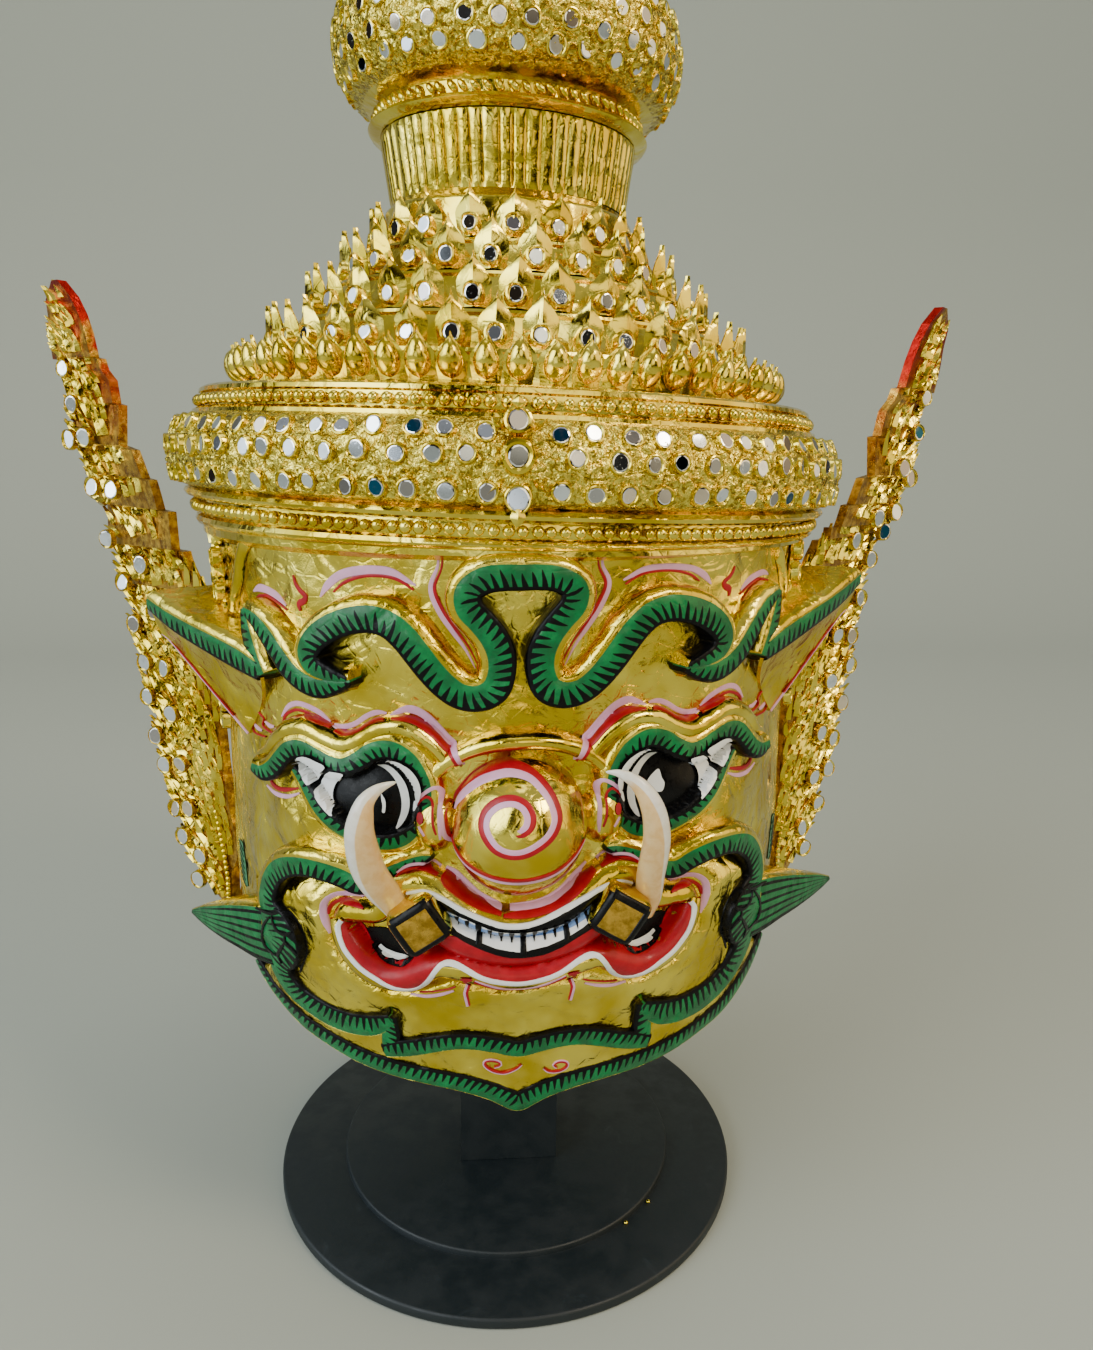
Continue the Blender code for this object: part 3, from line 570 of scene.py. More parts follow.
def band_green(name, along_stripes=False):
    """Green enamel with a black edge, tapering black strokes, and a gold shoulder."""
    n = Nodes(name)
    edge, along, wide = n.value("edge"), n.value("along"), n.value("wide")
    part = n.math("DIVIDE", edge, wide)
    if along_stripes:
        gap = n.times(n.math("ABSOLUTE", n.minus(n.math("FRACT", n.times(part, 6.0)), 0.5)),
                      n.math("DIVIDE", wide, 6.0))
        thick = n.ramp(along, 6, 40, 0.12, 0.62)
    else:
        tilt = n.times(edge, 0.28)
        wobble = n.times(n.noise(95, 1), 2.2)
        steps = n.math("DIVIDE", n.plus(n.plus(along, tilt), wobble), 2.75)
        gap = n.times(n.math("ABSOLUTE", n.minus(n.math("FRACT", steps), 0.5)), 2.75)
        chance = n.tree.nodes.new("ShaderNodeTexWhiteNoise")
        chance.noise_dimensions = "1D"
        n.feed(chance.inputs["W"], n.math("FLOOR", steps))
        reach = n.plus(0.62, n.times(chance.outputs["Value"], 0.26))
        thick = n.times(n.math("POWER", n.math("MAXIMUM", n.minus(reach, part), 0.0), 0.6), 1.2)
    stroke = n.math("LESS_THAN", gap, thick)
    line = n.math("LESS_THAN", edge, n.plus(0.85, n.times(n.noise(120, 1), 0.5)))
    black = n.math("MAXIMUM", stroke, line)
    gold = n.math("GREATER_THAN", edge, n.plus(wide, 0.1))
    green = n.mix(n.ramp(n.noise(180, 4), 0.35, 0.7), (0.0, 0.11, 0.028), GREEN_PAINT)
    paint = n.mix(black, green, BLACK_PAINT)
    foil, rough, normal = foil_nodes(n, 0.7)
    colour = n.mix(gold, paint, foil)
    rough = n.plus(n.times(gold, rough), n.times(n.minus(1.0, gold), 0.34))
    shine = n.minus(0.4, n.times(black, 0.25))
    return n.finish(Base_Color=colour, Roughness=rough, Metallic=gold, Normal=normal,
                    Specular_IOR_Level=shine)


def mirror_glass(name):
    """Small cut mirrors, each with its own painted reflection colour and a bright ground edge."""
    n = Nodes(name)
    shade = n.value("shade")
    # painted reflections: each mirror's random pick gives dark navy, grey, pale blue-white, and for a few,
    # warm, standing in for what it reflects
    painted_reflection_colour = n.mix(n.ramp(shade, 0.22, 0.26), (0.36, 0.33, 0.32), (0.84, 0.89, 0.95))
    painted_reflection_colour = n.mix(n.ramp(shade, 0.07, 0.09), (0.015, 0.09, 0.16), painted_reflection_colour)
    painted_reflection_colour = n.mix(n.ramp(shade, 0.90, 0.92), painted_reflection_colour, (0.92, 0.78, 0.62))
    painted_reflection_colour = n.mix(n.ramp(n.noise(260, 3), 0.5, 0.8, 0.0, 0.35), painted_reflection_colour, (0.30, 0.30, 0.30))
    colour = n.mix(n.value("rim"), painted_reflection_colour, (0.97, 0.97, 0.98))
    spots = n.ramp(n.noise(900, 3), 0.62, 0.75, 0.05, 0.35)
    return n.finish(Base_Color=colour, Roughness=spots, Metallic=1.0)


def tusk_finish(name):
    """Cream gloss, with painted warm light reflected from the gold on one side towards the root."""
    n = Nodes(name)
    shrinking = n.minus(n.times(n.value("along"), 1.3), 1.0)
    bound = n.minus(n.value("side"), shrinking)
    # painted warm light reflected from the gold: ochre on one side near the root
    painted_bounce_side = n.times(n.ramp(bound, 0.0, 0.12), n.ramp(n.value("along"), 0.86, 0.74))
    grain = n.noise(240, 4, 0.6, 0.4)
    cream = n.mix(n.ramp(grain, 0.3, 0.7), (0.80, 0.74, 0.62), (0.90, 0.86, 0.78))
    painted_gold_bounce = n.mix(n.ramp(grain, 0.35, 0.65), (0.80, 0.49, 0.18), (0.87, 0.59, 0.27))
    colour = n.mix(painted_bounce_side, cream, painted_gold_bounce)
    return n.finish(Base_Color=colour, Roughness=0.22, Coat_Weight=0.5, Coat_Roughness=0.08,
                    Normal=n.bump(grain, 0.15, 0.0006), Subsurface_Weight=0.08,
                    Subsurface_Scale=0.002)


def stand_paint(name):
    """Matte blue-black paint with faint scuffs and dust."""
    n = Nodes(name)
    scuff = n.ramp(n.noise(30, 8, 0.7, 1.5), 0.60, 0.72)
    dust = n.ramp(n.noise(1400, 2), 0.68, 0.8)
    colour = n.mix(n.times(scuff, 0.35), (0.006, 0.011, 0.014), (0.03, 0.042, 0.05))
    colour = n.mix(n.times(dust, 0.25), colour, (0.10, 0.11, 0.12))
    rough = n.ramp(n.noise(90, 4), 0.3, 0.7, 0.42, 0.6)
    return n.finish(Base_Color=colour, Roughness=rough, Normal=n.bump(n.noise(600, 4), 0.1, 0.0005))


FOIL = gold_foil("gold_foil")
FOIL_SMOOTH = gold_foil("gold_foil_smooth", 0.45)
PASTE = gold_paste("gold_paste")
MIRROR = mirror_glass("mirror_glass")
EDGE_GILT = gold_edge("gilt_edge")
GREEN_BAND = band_green("band_green")
WING_BAND = band_green("wing_green", True)
BLACK = enamel("paint_black", BLACK_PAINT, 0.7, 0.22, 0.02)
RED = enamel("paint_red", RED_PAINT, 0.8, 0.3, 0.12)
PINK = enamel("paint_pink", PINK_PAINT, 0.9, 0.3, 0.15)
WHITE = enamel("paint_white", WHITE_PAINT, 0.93)
GREEN = enamel("paint_green", GREEN_PAINT)
BLUE = enamel("paint_blue", (0.20, 0.36, 0.74))
DULL_GOLD = gold_edge("gold_dull", 0.5)
IVORY = tusk_finish("tusk_ivory")
STAND = stand_paint("stand_paint")
LINING = enamel("lining_lacquer", (0.05, 0.012, 0.008), 0.6, 0.5)

# face shell
WALL = 5.0


def within(edge, x, y):
    """Which of many places lie inside a closed outline."""
    result = np.zeros(x.shape, bool)
    for (ax, ay), (bx, by) in zip(edge, np.roll(edge, -1, 0)):
        crossing = (ay > y) != (by > y)
        cut = ax + (y - ay) * (bx - ax) / (by - ay if by != ay else 1e-9)
        result ^= crossing & (x < cut)
    return result


def edge_distance(x, y, outline):
    """Distance in millimetres to a closed outline of angle and height, negative outside it."""
    closed = np.array([(a * PER_DEGREE, z) for a, z in outline], float)
    nearest = np.full(x.shape, 1e9)
    for a, b in zip(closed, np.roll(closed, -1, 0)):
        run = b - a
        t = np.clip(((x - a[0]) * run[0] + (y - a[1]) * run[1]) / max(run @ run, 1e-9), 0, 1)
        nearest = np.minimum(nearest, np.hypot(x - a[0] - t * run[0], y - a[1] - t * run[1]))
    return np.where(within(closed, x, y), nearest, -nearest)


def cheek_fill(angle, z):
    """Fuller modelling inside the jaw band and between it and the lower edge."""
    side = np.abs(angle) * PER_DEGREE
    loop = [row[:2] for row in JAW + JAW_DROP + CHIN[1:]]
    loop = loop + [(-20, 127.2), (-20, 190), (20, 190)]
    low = [row[:2] for row in RIM_BAND] + [(-20, 102.6), (-20, 150), (46, 150)]
    upper = edge_distance(side, z, loop)
    under = edge_distance(side, z, low)
    lips = [row[:2] for row in LIP_LOW[1:]] + [(-20, 159), (-20, 190), (20, 191), (31, 178)]
    clear = eased(2.5, 9, -edge_distance(side, z, lips))
    return np.maximum(5.6 * eased(-1, 5, upper) * (1 - eased(178, 190, z)) * clear,
                      4.4 * eased(0, 3, under) * (1 - eased(140, 150, z)))


def face_shell():
    """Outer and inner skin of the mask from its lower edge to the crown."""
    heap = Heap()
    angles = np.concatenate([np.arange(-84, 84.01, 0.75), np.arange(87, 273.01, 3.0)])
    angles = np.where(angles > 180, angles - 360, angles)
    columns, low = len(angles), rim_height(angles)
    z, z_in = (low + (SHELL_TOP - low) * np.linspace(0, 1, rows)[:, None] for rows in (150, 12))
    hem = 2.6 * (1 - eased(6.5, 8.5, z - low)) * eased(60, 84, np.abs(angles))
    turn = np.broadcast_to(angles, z.shape)
    outer = on_face(turn, z, hem + cheek_fill(turn, z))
    inner = on_face(np.broadcast_to(angles, z_in.shape), z_in, -WALL)
    heap.add(outer, grid(len(z), columns, True))
    heap.add(inner, grid(len(z_in), columns, True), 1)
    heap.add(np.concatenate([outer[0], inner[0]]), grid(2, columns, True))
    return heap


shell = face_shell()
bands = Heap("edge", "along", "wide")
for side in (1, -1):
    for rows, shoulder, style in (
            (BROW_WING, 1, ENAMEL), (BROW_RISE, -1, ENAMEL), (BROW_FALL, 1, ENAMEL),
            (LID_UP, 1, ENAMEL), (LID_LOW, -1, ENAMEL), (JAW, -1, ENAMEL), (JAW_DROP, -1, ENAMEL),
            (LID_FOLD, 0, FOLD), (JAW_WING, 1, WING)):
        if style == WING and side == 1:
            rows = [(a, z, half, lift - 0.3 * max(lift - 9, 0)) for a, z, half, lift in rows]
        add_band(bands, rows, shoulder, side, style)
    add_band(bands, [(*row, 1.5, 2.6) for row in ROD], 0, side, FOLD)
for rows, shoulder, style in ((BROW_ARCH, 1, ENAMEL), (CHIN, -1, ENAMEL), (LIP_LOW, -1, LIP),
                              (LIP_UP, 1, LIP), (NOSE_FOLD, 0, FOLD), (RIM_BAND, -1, ENAMEL),
                              (TEETH_RIDGE, 0, FOLD)):
    add_band(bands, spanning(rows), shoulder, 1, style)

nose = Heap()
nose.add(*ball((0, -112.6, 210), (22.5, 23.4, 23.5), 72, 40))
for side in (1, -1):
    nose.add(*ball((-side * 27.5, -105, 211), (9, 13, 11.5), 40, 24))
nose.points = [leaned(points) for points in nose.points]

SOCKET_TURN = math.radians(-32)
SOCKET_MIDDLE = (32.8, 115, 179.6)
SOCKET_HALF = 8.2
SOCKET_FRAME = 0.82 * SOCKET_HALF
sockets = Heap()


def socket_corner(along, up):
    """Angle and height of a spot on the painted frame of a socket's front."""
    c, s = math.cos(SOCKET_TURN), math.sin(SOCKET_TURN)
    out = SOCKET_MIDDLE[0] + (c * along - s * up) * SOCKET_FRAME
    z = SOCKET_MIDDLE[2] + (s * along + c * up) * SOCKET_FRAME
    return math.degrees(math.atan2(out, SOCKET_MIDDLE[1] + 10)), z


for side in (1, -1):
    points, faces = ball((0, 0, 0), (SOCKET_HALF + 0.8, 10.5, SOCKET_HALF + 0.8), 48, 32, 5)
    c, s = math.cos(SOCKET_TURN), math.sin(SOCKET_TURN) * side
    points = points @ np.array([[c, 0, -s], [0, 1, 0], [s, 0, c]])
    out, forward, up = SOCKET_MIDDLE
    sockets.add(points + (-side * out, -forward, up), faces)
    sockets.slots[-len(faces):] = [int(points[list(face), 1].mean() < -8.6) for face in faces]
sockets.points = [leaned(points) for points in sockets.points]

# paint laid over the relief
paint = Heap()


def tree_of(heaps):
    """Search tree over several heaps."""
    points, faces, start = [], [], 0
    for heap in heaps:
        points.append(np.concatenate(heap.points))
        faces += [tuple(i + start for i in face) for face in heap.faces]
        start += heap.count
    return BVHTree.FromPolygons(np.concatenate(points).tolist(), faces)


SKIN = tree_of([shell, bands, nose])
SOCKETS = tree_of([sockets])


def drape(angle, z, lift, tree=SKIN):
    """Points on the carved face below each place, raised by the paint's thickness."""
    aim = on_face(angle, z)
    turn = np.radians(angle)
    out = np.stack([np.sin(turn), -np.cos(turn), np.zeros_like(turn)], -1)
    landed = []
    for target, way, up in zip(aim, out, np.broadcast_to(lift, (len(aim),))):
        spot, normal, _, _ = tree.ray_cast(Vector(target + way * RAY_START), Vector(-way), RAY_LENGTH)
        if spot is None:
            spot, normal = Vector(target), Vector(way)
        if normal.dot(Vector(way)) < 0:
            normal = -normal
        landed.append(spot + (normal * 0.6 + Vector(way) * 0.4) * up)
    return np.array(landed)


def add_stroke(rows, side, slot, lift, shift=0.0, tree=SKIN):
    """Brush stroke: rows of angle, height and half width; shift moves it to the path's right."""
    path, _ = sample(rows, STROKE_STEP)
    spots, across = across_path(path)
    if shift:
        near, far = bend_limits(spots, across)
        spots = spots + across * np.clip(shift, near, far)[:, None]
    low, high = bend_limits(spots, across)
    shape = np.array([-1.0, -0.85, -0.45, 0, 0.45, 0.85, 1.0])
    rises = np.array([0.02, 0.85, 1.0, 1.0, 1.0, 0.85, 0.02]) * lift
    offset = np.clip(shape * path[:, 2:3], low[:, None], high[:, None])
    flat = (spots[:, None] + across[:, None] * offset[..., None]).reshape(-1, 2)
    landed = drape(-side * flat[:, 0] / PER_DEGREE, flat[:, 1], np.tile(rises, len(path)), tree)
    paint.add(landed, grid(len(path), len(shape)), slot)


def add_fill(outline, side, slot, lift, spacing=PAINT_STEP, smooth=True):
    """Painted area inside a closed outline of angle and height."""
    closed = [(*p, 0) for p in outline] + [(*outline[0], 0)]
    path = sample(closed, spacing)[0] if smooth else straight(closed, spacing)
    edge = path[:-1, :2] * (PER_DEGREE, 1)
    low, high = edge.min(0), edge.max(0)
    xs = np.arange(low[0] + spacing / 2, high[0], spacing)
    ys = np.arange(low[1] + spacing / 2, high[1], spacing)
    inner = np.stack(np.meshgrid(xs, ys, indexing="ij"), -1).reshape(-1, 2)
    clear = np.min([np.hypot(*(inner - corner).T) for corner in edge], axis=0) > 0.5
    inner = inner[clear & within(edge, *inner.T)]
    points = [Vector(p) for p in edge.tolist() + inner.tolist()]
    ring = [(k, (k + 1) % len(edge)) for k in range(len(edge))]
    made = delaunay_2d_cdt(points, ring, [], 1, 0.01)
    flat = np.array([tuple(p) for p in made[0]])
    landed = drape(-side * flat[:, 0] / PER_DEGREE, flat[:, 1], lift)
    paint.add(landed, [tuple(face) for face in made[2]], slot)


def straight(rows, spacing):
    """Even points along straight lines between the rows."""
    out = []
    for a, b in zip(np.array(rows, float), np.array(rows[1:], float)):
        count = max(int(np.hypot((b[0] - a[0]) * PER_DEGREE, b[1] - a[1]) / spacing), 1)
        out += [a + (b - a) * k / count for k in range(count)]
    return np.array(out + [rows[-1]], float)


PAINTS = [RED, PINK, WHITE, BLACK, GREEN, BLUE]
P_RED, P_PINK, P_WHITE, P_BLACK, P_GREEN, P_BLUE = range(6)

# lines painted on both sides, by paint: greatest half width, places as angle and height
MARKS = {
    P_PINK: (
        (0.95, ((44.4, 241.9), (42.5, 245.9), (40.2, 247.7), (37.6, 247.3), (34.9, 245.5), (32.9, 243))),
        (0.9, ((32.1, 242.3), (30.1, 241.8), (28, 243.2), (25.6, 246.3), (23.7, 247.7), (22, 247.6))),
        (1.35, ((21, 247.8), (18.3, 249.3), (16.1, 248), (14.1, 244.5), (12.1, 239.9), (10.2, 235.8),
                (9.2, 230.5))),
        (0.75, ((49.6, 214.6), (46.5, 213.2), (42.6, 213.9), (39.4, 216.4))),
        (0.65, ((17, 216.7), (16, 220.6), (14.8, 223), (13.3, 224.4), (12.6, 222.5), (12.7, 219.1),
                (12.6, 215.6), (12.4, 211.2), (12.5, 207.4))),
        (0.5, ((15.9, 211.5), (15.4, 210), (14.9, 208.6))),
        (1.2, ((49.8, 284.9), (48.1, 286.1), (45.6, 285.8), (42.9, 284.2), (40.7, 281.4))),
        (1.3, ((32.9, 285.3), (31.5, 288.6), (29.1, 291.6), (26.3, 293), (23.1, 293.5), (19.6, 292.8),
               (16, 289.6))),
        (0.8, ((54.8, 236.6), (52.6, 234.8), (50.9, 234.4))),
        (0.8, ((49.7, 238.2), (48.2, 237.1), (46.8, 237.4))),
        (0.5, ((19.6, 195), (18.1, 197.2), (16.2, 198), (14.5, 197.2), (13.1, 195.6))),
        (0.6, ((18.2, 149.7), (15.4, 150), (13, 151.1), (10.6, 153.2))),
        (0.9, ((32.9, 168), (33.6, 172.1), (34.1, 176), (33.9, 179.3), (32.8, 181.4), (31.2, 182.4),
               (29, 182.8), (26.7, 183))),
    ),
    P_RED: (
        (0.8, ((44.2, 239.8), (43, 243.2), (40.1, 245.5), (36.9, 244.8), (34, 243.3), (32, 241.9))),
        (0.75, ((31, 241), (29.1, 240.4), (26.3, 242.2), (24.6, 244.6), (22.9, 246.2), (21.5, 246.6))),
        (0.9, ((20.3, 247), (17.7, 246.8), (15.5, 244.8), (13.4, 241.2), (11.8, 237.4), (10.4, 234.2),
               (9.7, 229.8))),
        (1.1, ((48.6, 218.2), (47.6, 216.2), (45.4, 215.4), (42.8, 216.2), (39.7, 218))),
        (0.6, ((16.6, 217.2), (15.6, 220.2), (14.6, 221.5), (13.9, 220), (13.7, 216.8), (13.5, 213.2),
               (13, 209.4))),
        (0.7, ((48.2, 283.8), (45.7, 284), (43, 282.4), (40.5, 280))),
        (0.75, ((30.2, 287), (28.3, 289.7), (25.8, 291.4), (23.2, 292.1), (20.4, 291.9), (18.4, 290.8),
                (16.4, 288.2))),
        (0.45, ((57.1, 240.8), (55.9, 237.9), (55, 235.1), (53.5, 232.6), (49.6, 232.6))),
        (0.5, ((52.7, 243.1), (51.4, 240.8), (50, 239.2), (50.5, 236.5), (48.1, 235), (46.4, 235.6))),
        (0.85, ((19.8, 193.7), (18.6, 195.5), (16.9, 196.4), (15.2, 196.1), (13.1, 194.5))),
        (0.35, ((16.5, 151), (14.1, 152.3), (12, 153.6), (10.3, 154.8))),
        (0.95, ((33.4, 174.6), (33.3, 177.2), (32.3, 179), (30.6, 180.5), (28.6, 181.1), (26.6, 181.4),
                (25.2, 181.2))),
    ),
    P_BLACK: (
        (0.8, ((43.3, 173.6), (40.9, 172.4), (39.2, 169.6), (38.2, 166.2), (37.8, 162.3), (38, 158.1),
               (39.1, 153.9), (40.1, 148.9))),
        (0.65, ((48.7, 170.2), (46.3, 170.5), (43.8, 171.3), (41.7, 173.3))),
        (0.7, ((44, 170.8), (43.6, 167.4), (42.2, 165.4), (40.5, 165.6), (38.7, 167.9))),
        (0.7, ((40.6, 165.9), (40.8, 162.2), (39.7, 160.5), (38, 158.8))),
        (0.7, ((40.8, 162.4), (42.3, 158.5), (43.6, 154.9), (43.2, 151.6))),
        (0.7, ((44.5, 169.9), (46.7, 164.6), (47.6, 159.3), (47, 155.8), (45.3, 154.5), (43.3, 154.4))),
    ),
}
# lines of the upper lip: side, paint, and rows of angle, height and half width
LIP_LINES = (
    (1, P_RED, ((12.4, 194.4, 0.6), (12, 193.4, 1.1), (11.1, 191.8, 1.3), (10, 189.8, 1.15),
                (8.2, 187, 0.95), (6, 184.3, 0.8), (2.9, 182, 0.4))),
    (1, P_PINK, ((12.3, 195.2, 0.5), (10.8, 193.6, 0.9), (9.6, 191.4, 1), (8.3, 189, 1), (6.8, 186.5, 0.9),
                 (5, 184.7, 0.7), (2.9, 182.9, 0.3))),
    (-1, P_RED, ((-2.6, 181.6, 0.4), (-0.5, 181.4, 0.75), (1.7, 181.6, 0.8), (3.9, 182.4, 0.8),
                 (6.1, 183.9, 0.85), (8.3, 186.8, 0.95), (10.2, 190.2, 1), (12.2, 193.8, 0.5))),
    (-1, P_PINK, ((-1.6, 182.6, 0.3), (0.6, 182.6, 0.55), (2.8, 183.1, 0.6), (5, 184.4, 0.7),
                  (7.2, 187, 0.8), (9.2, 190.6, 0.9), (11.4, 194.6, 0.4))),
)
# outlines and lines of the mouth, cheeks, eyes, nose and chin: angle, height
LIP_WHITE = (
    (29.7, 175.2), (30.1, 173.4), (29.8, 171.2), (29.3, 168.9), (28.4, 165.8), (27, 162.8), (25.3, 159.9),
    (22.9, 157.2), (20.9, 155.2), (19.2, 154.2), (17.2, 154), (15.6, 155.6), (14.2, 159), (13, 163),
    (12, 165.4), (10.8, 166), (9.2, 165.1), (7.5, 163.1), (5.8, 161.1), (3.7, 159.6), (0, 158.4),
)
LIP_INSIDE = (
    (28.8, 174.6), (26.9, 172), (25.9, 168.6), (25, 165.6), (23.2, 162.6), (20.4, 161.4), (18.2, 163),
    (15.6, 169), (11.8, 174.6), (9.6, 174), (7.9, 172.2), (5.8, 170.2), (3.7, 168.5), (0, 167),
)
SIDE_TOOTH = (
    (23.7, 166.4), (22.7, 165), (21, 164), (19.4, 163.6), (18.6, 162.8), (20.2, 161.7), (22, 161.9),
    (23.5, 163.2), (24.2, 165),
)
SIDE_DARK = (
    (26.4, 171.4), (25.8, 168.2), (25.3, 165.8), (24.2, 163.8), (22.9, 162.1), (21, 160.9), (18.6, 161.6),
    (17, 165.6), (19, 170.6), (22.6, 172.4),
)
CHEEK_TAB = ((66.2, 184), (66, 176), (64.6, 166), (61.4, 166.6), (61.6, 176), (62.8, 184))
TICK = (
    (38.6, 291, 0.3), (38.2, 288.7, 0.6), (37.3, 286.8, 0.8), (36.1, 285.2, 0.9), (36.5, 283.6, 1.2),
    (37.6, 282.5, 1.2), (37.4, 280.1, 0.3),
)
SIDE_MARK = (
    (11.7, 301.6), (11.9, 295), (13.1, 288.8), (11.9, 282.2), (10, 276.2), (8, 270.2), (6.5, 263.8),
)
MOUTH_TOP = (
    (17.8, 188.6), (14.8, 190), (11.9, 187.9), (8.2, 183.6), (4.6, 180.4), (1.9, 179), (-0.9, 179),
    (-3.3, 180.1), (-6.5, 182.7), (-9.4, 185.6), (-12.6, 188.6), (-15.6, 189.6), (-18.2, 187.6),
)
MOUTH_LOW = (
    (-14.6, 177.5), (-11.4, 175.8), (-8.8, 173.2), (-6.2, 170.4), (-3.4, 168.3), (-0.3, 167.7), (1.6, 168),
    (3.7, 169.2), (5.8, 171), (7.9, 173.1), (9.6, 175.1), (11, 176.4), (14.4, 178),
)
TEETH_TOP = (
    (11.4, 183.8), (9.6, 182.8), (7.9, 181.4), (6.2, 179.7), (3.7, 177.7), (1.6, 177), (-0.2, 176.7),
    (-3.6, 177.2), (-7, 178.6), (-9.8, 181.2), (-11.8, 183.4),
)
TEETH_LOW = (
    (-11.6, 178.6), (-9.6, 176), (-7.3, 173.6), (-4, 171.2), (-0.2, 169.9), (1.6, 170.3), (3.7, 171.3),
    (6.7, 173.9), (8.4, 175.4), (9.7, 176.9), (10.9, 179),
)
TEETH_GAPS = (6.3, -0.4, -7.1)
EYE = (
    (40, 227.6), (37.6, 231), (35.6, 232.4), (33.5, 232), (31.5, 229.8), (29.4, 228.4), (27.3, 229),
    (25.5, 230.6), (23.9, 232.2), (21.9, 233.2), (20.1, 234), (18.5, 233.4), (16.8, 231.5), (15.6, 228.3),
    (15.1, 224.3), (15.4, 219.4), (16.3, 215.1), (17.2, 211.9), (18.9, 208.9), (21.2, 207.6), (23.5, 207.5),
    (26.5, 208.4), (28.5, 210.6), (29.9, 212.5), (31.9, 214.8), (33.8, 218.2), (35.7, 221.3), (37.7, 225),
)
EYE_WHITES = (
    ((39.8, 227.8), (37.3, 230.9), (35.6, 231.8), (33.5, 231), (31.4, 229.1), (34.4, 224.4), (35.2, 221.7),
     (37.4, 225), (38.6, 227)),
    ((30.4, 228.2), (27.9, 227.6), (30.6, 223.6), (31.3, 220), (30.9, 216.8), (29.7, 213.4), (31.1, 215.2),
     (33.1, 218.4), (34, 221), (33.7, 223.8)),
    ((23.8, 230), (21.8, 230), (20, 227.2), (18.7, 223.2), (18.2, 218), (18.6, 213.7), (19.7, 210),
     (20.6, 208.7), (20.2, 211.2), (19.6, 214.9), (19.5, 218.7), (20, 222.8), (20.9, 226.1), (22.3, 228.7)),
    ((21, 233.5), (19.1, 233.2), (17.2, 231), (15.9, 227.6), (15.4, 223.6), (15.8, 219.6), (16.7, 215.6),
     (17.2, 218.7), (17.6, 223.4), (19, 227.3), (20.6, 230.6), (22, 232)),
)
GLINTS = {
    1: ((22.8, 221), (22.1, 218.8), (22, 216.7), (22.2, 214.5), (22.6, 214.7), (22.5, 216.9), (22.7, 219)),
    -1: ((22.3, 222.8), (23.7, 224.5), (24.1, 221.5), (24.5, 219.7), (24.1, 217.2), (23.2, 217.1),
         (22.6, 218.4), (21.6, 220.8)),
}
SPIRAL = (
    (11.1, 217.6), (10.5, 220.9), (8.2, 226.4), (5.5, 230.2), (1.9, 232.4), (-1.4, 231.2), (-3.6, 227.1),
    (-4.8, 222.2), (-5.1, 217.6), (-4.1, 213.2), (-2.2, 210), (-0.1, 208), (1.9, 207.9), (3.8, 209.7),
    (5.2, 213.7), (5.6, 217.5), (5, 221.3), (3.3, 224.3), (1.1, 225.1), (-0.6, 223.4), (-1.4, 220),
    (-1.1, 216.6), (0.1, 214.6), (0.9, 214.7),
)
NOSE_LOW = (
    (11.7, 217), (11.6, 213.8), (11.1, 208), (9.3, 204.1), (6.9, 201.4), (4.1, 199.6), (1.3, 198.8),
    (-1.5, 199), (-4.7, 200.3), (-7.4, 203.3), (-9.6, 207),
)
CHIN_CURLS = (
    ((-0.5, 117.3), (0.6, 115.3), (2.6, 113.8), (4.6, 114.7), (5.9, 116.8), (5.9, 118.6), (4.8, 119.1),
     (3.5, 118.3), (3.4, 117.1), (4.4, 116.4)),
    ((-4.8, 115.2), (-5.6, 113.6), (-7.2, 113.2), (-8.4, 114), (-9, 115.4), (-8.6, 116.8), (-7.4, 117.2),
     (-6.6, 116), (-7.2, 115)),
)
DRIP = ((8.2, 160.4), (8.6, 157.6), (8.1, 155.4), (8.5, 152.6), (8.4, 149.8), (8.2, 146.8))
LOW_LINE = ((7.1, 159.2), (5.4, 157.4), (3.6, 155.4), (1.5, 153.8), (0, 153.4))


def with_tips(points, most, taper, least=0.15):
    """Rows of a stroke whose half width swells between thin ends."""
    last = len(points) - 1
    rows = []
    for k, (angle, z) in enumerate(points):
        swell = min(k / last / taper, (1 - k / last) / taper, 1.0)
        rows.append((angle, z, least + (most - least) * swell))
    return rows


def oval(middle, wide, high):
    """Outline of an oval; sizes in millimetres."""
    return [(middle[0] + math.cos(t) * wide / PER_DEGREE, middle[1] + math.sin(t) * high)
            for t in full_turn(20)]


def two_tone(points, side, red, pink, inner, taper):
    """Red line with a pink one along it; inner is 1 or -1 for the side that the pink is on."""
    add_stroke(with_tips(points, pink, taper), side, P_PINK, 0.28,
               inner * (red + pink) * 0.82)
    add_stroke(with_tips(points, red, taper), side, P_RED, 0.45)


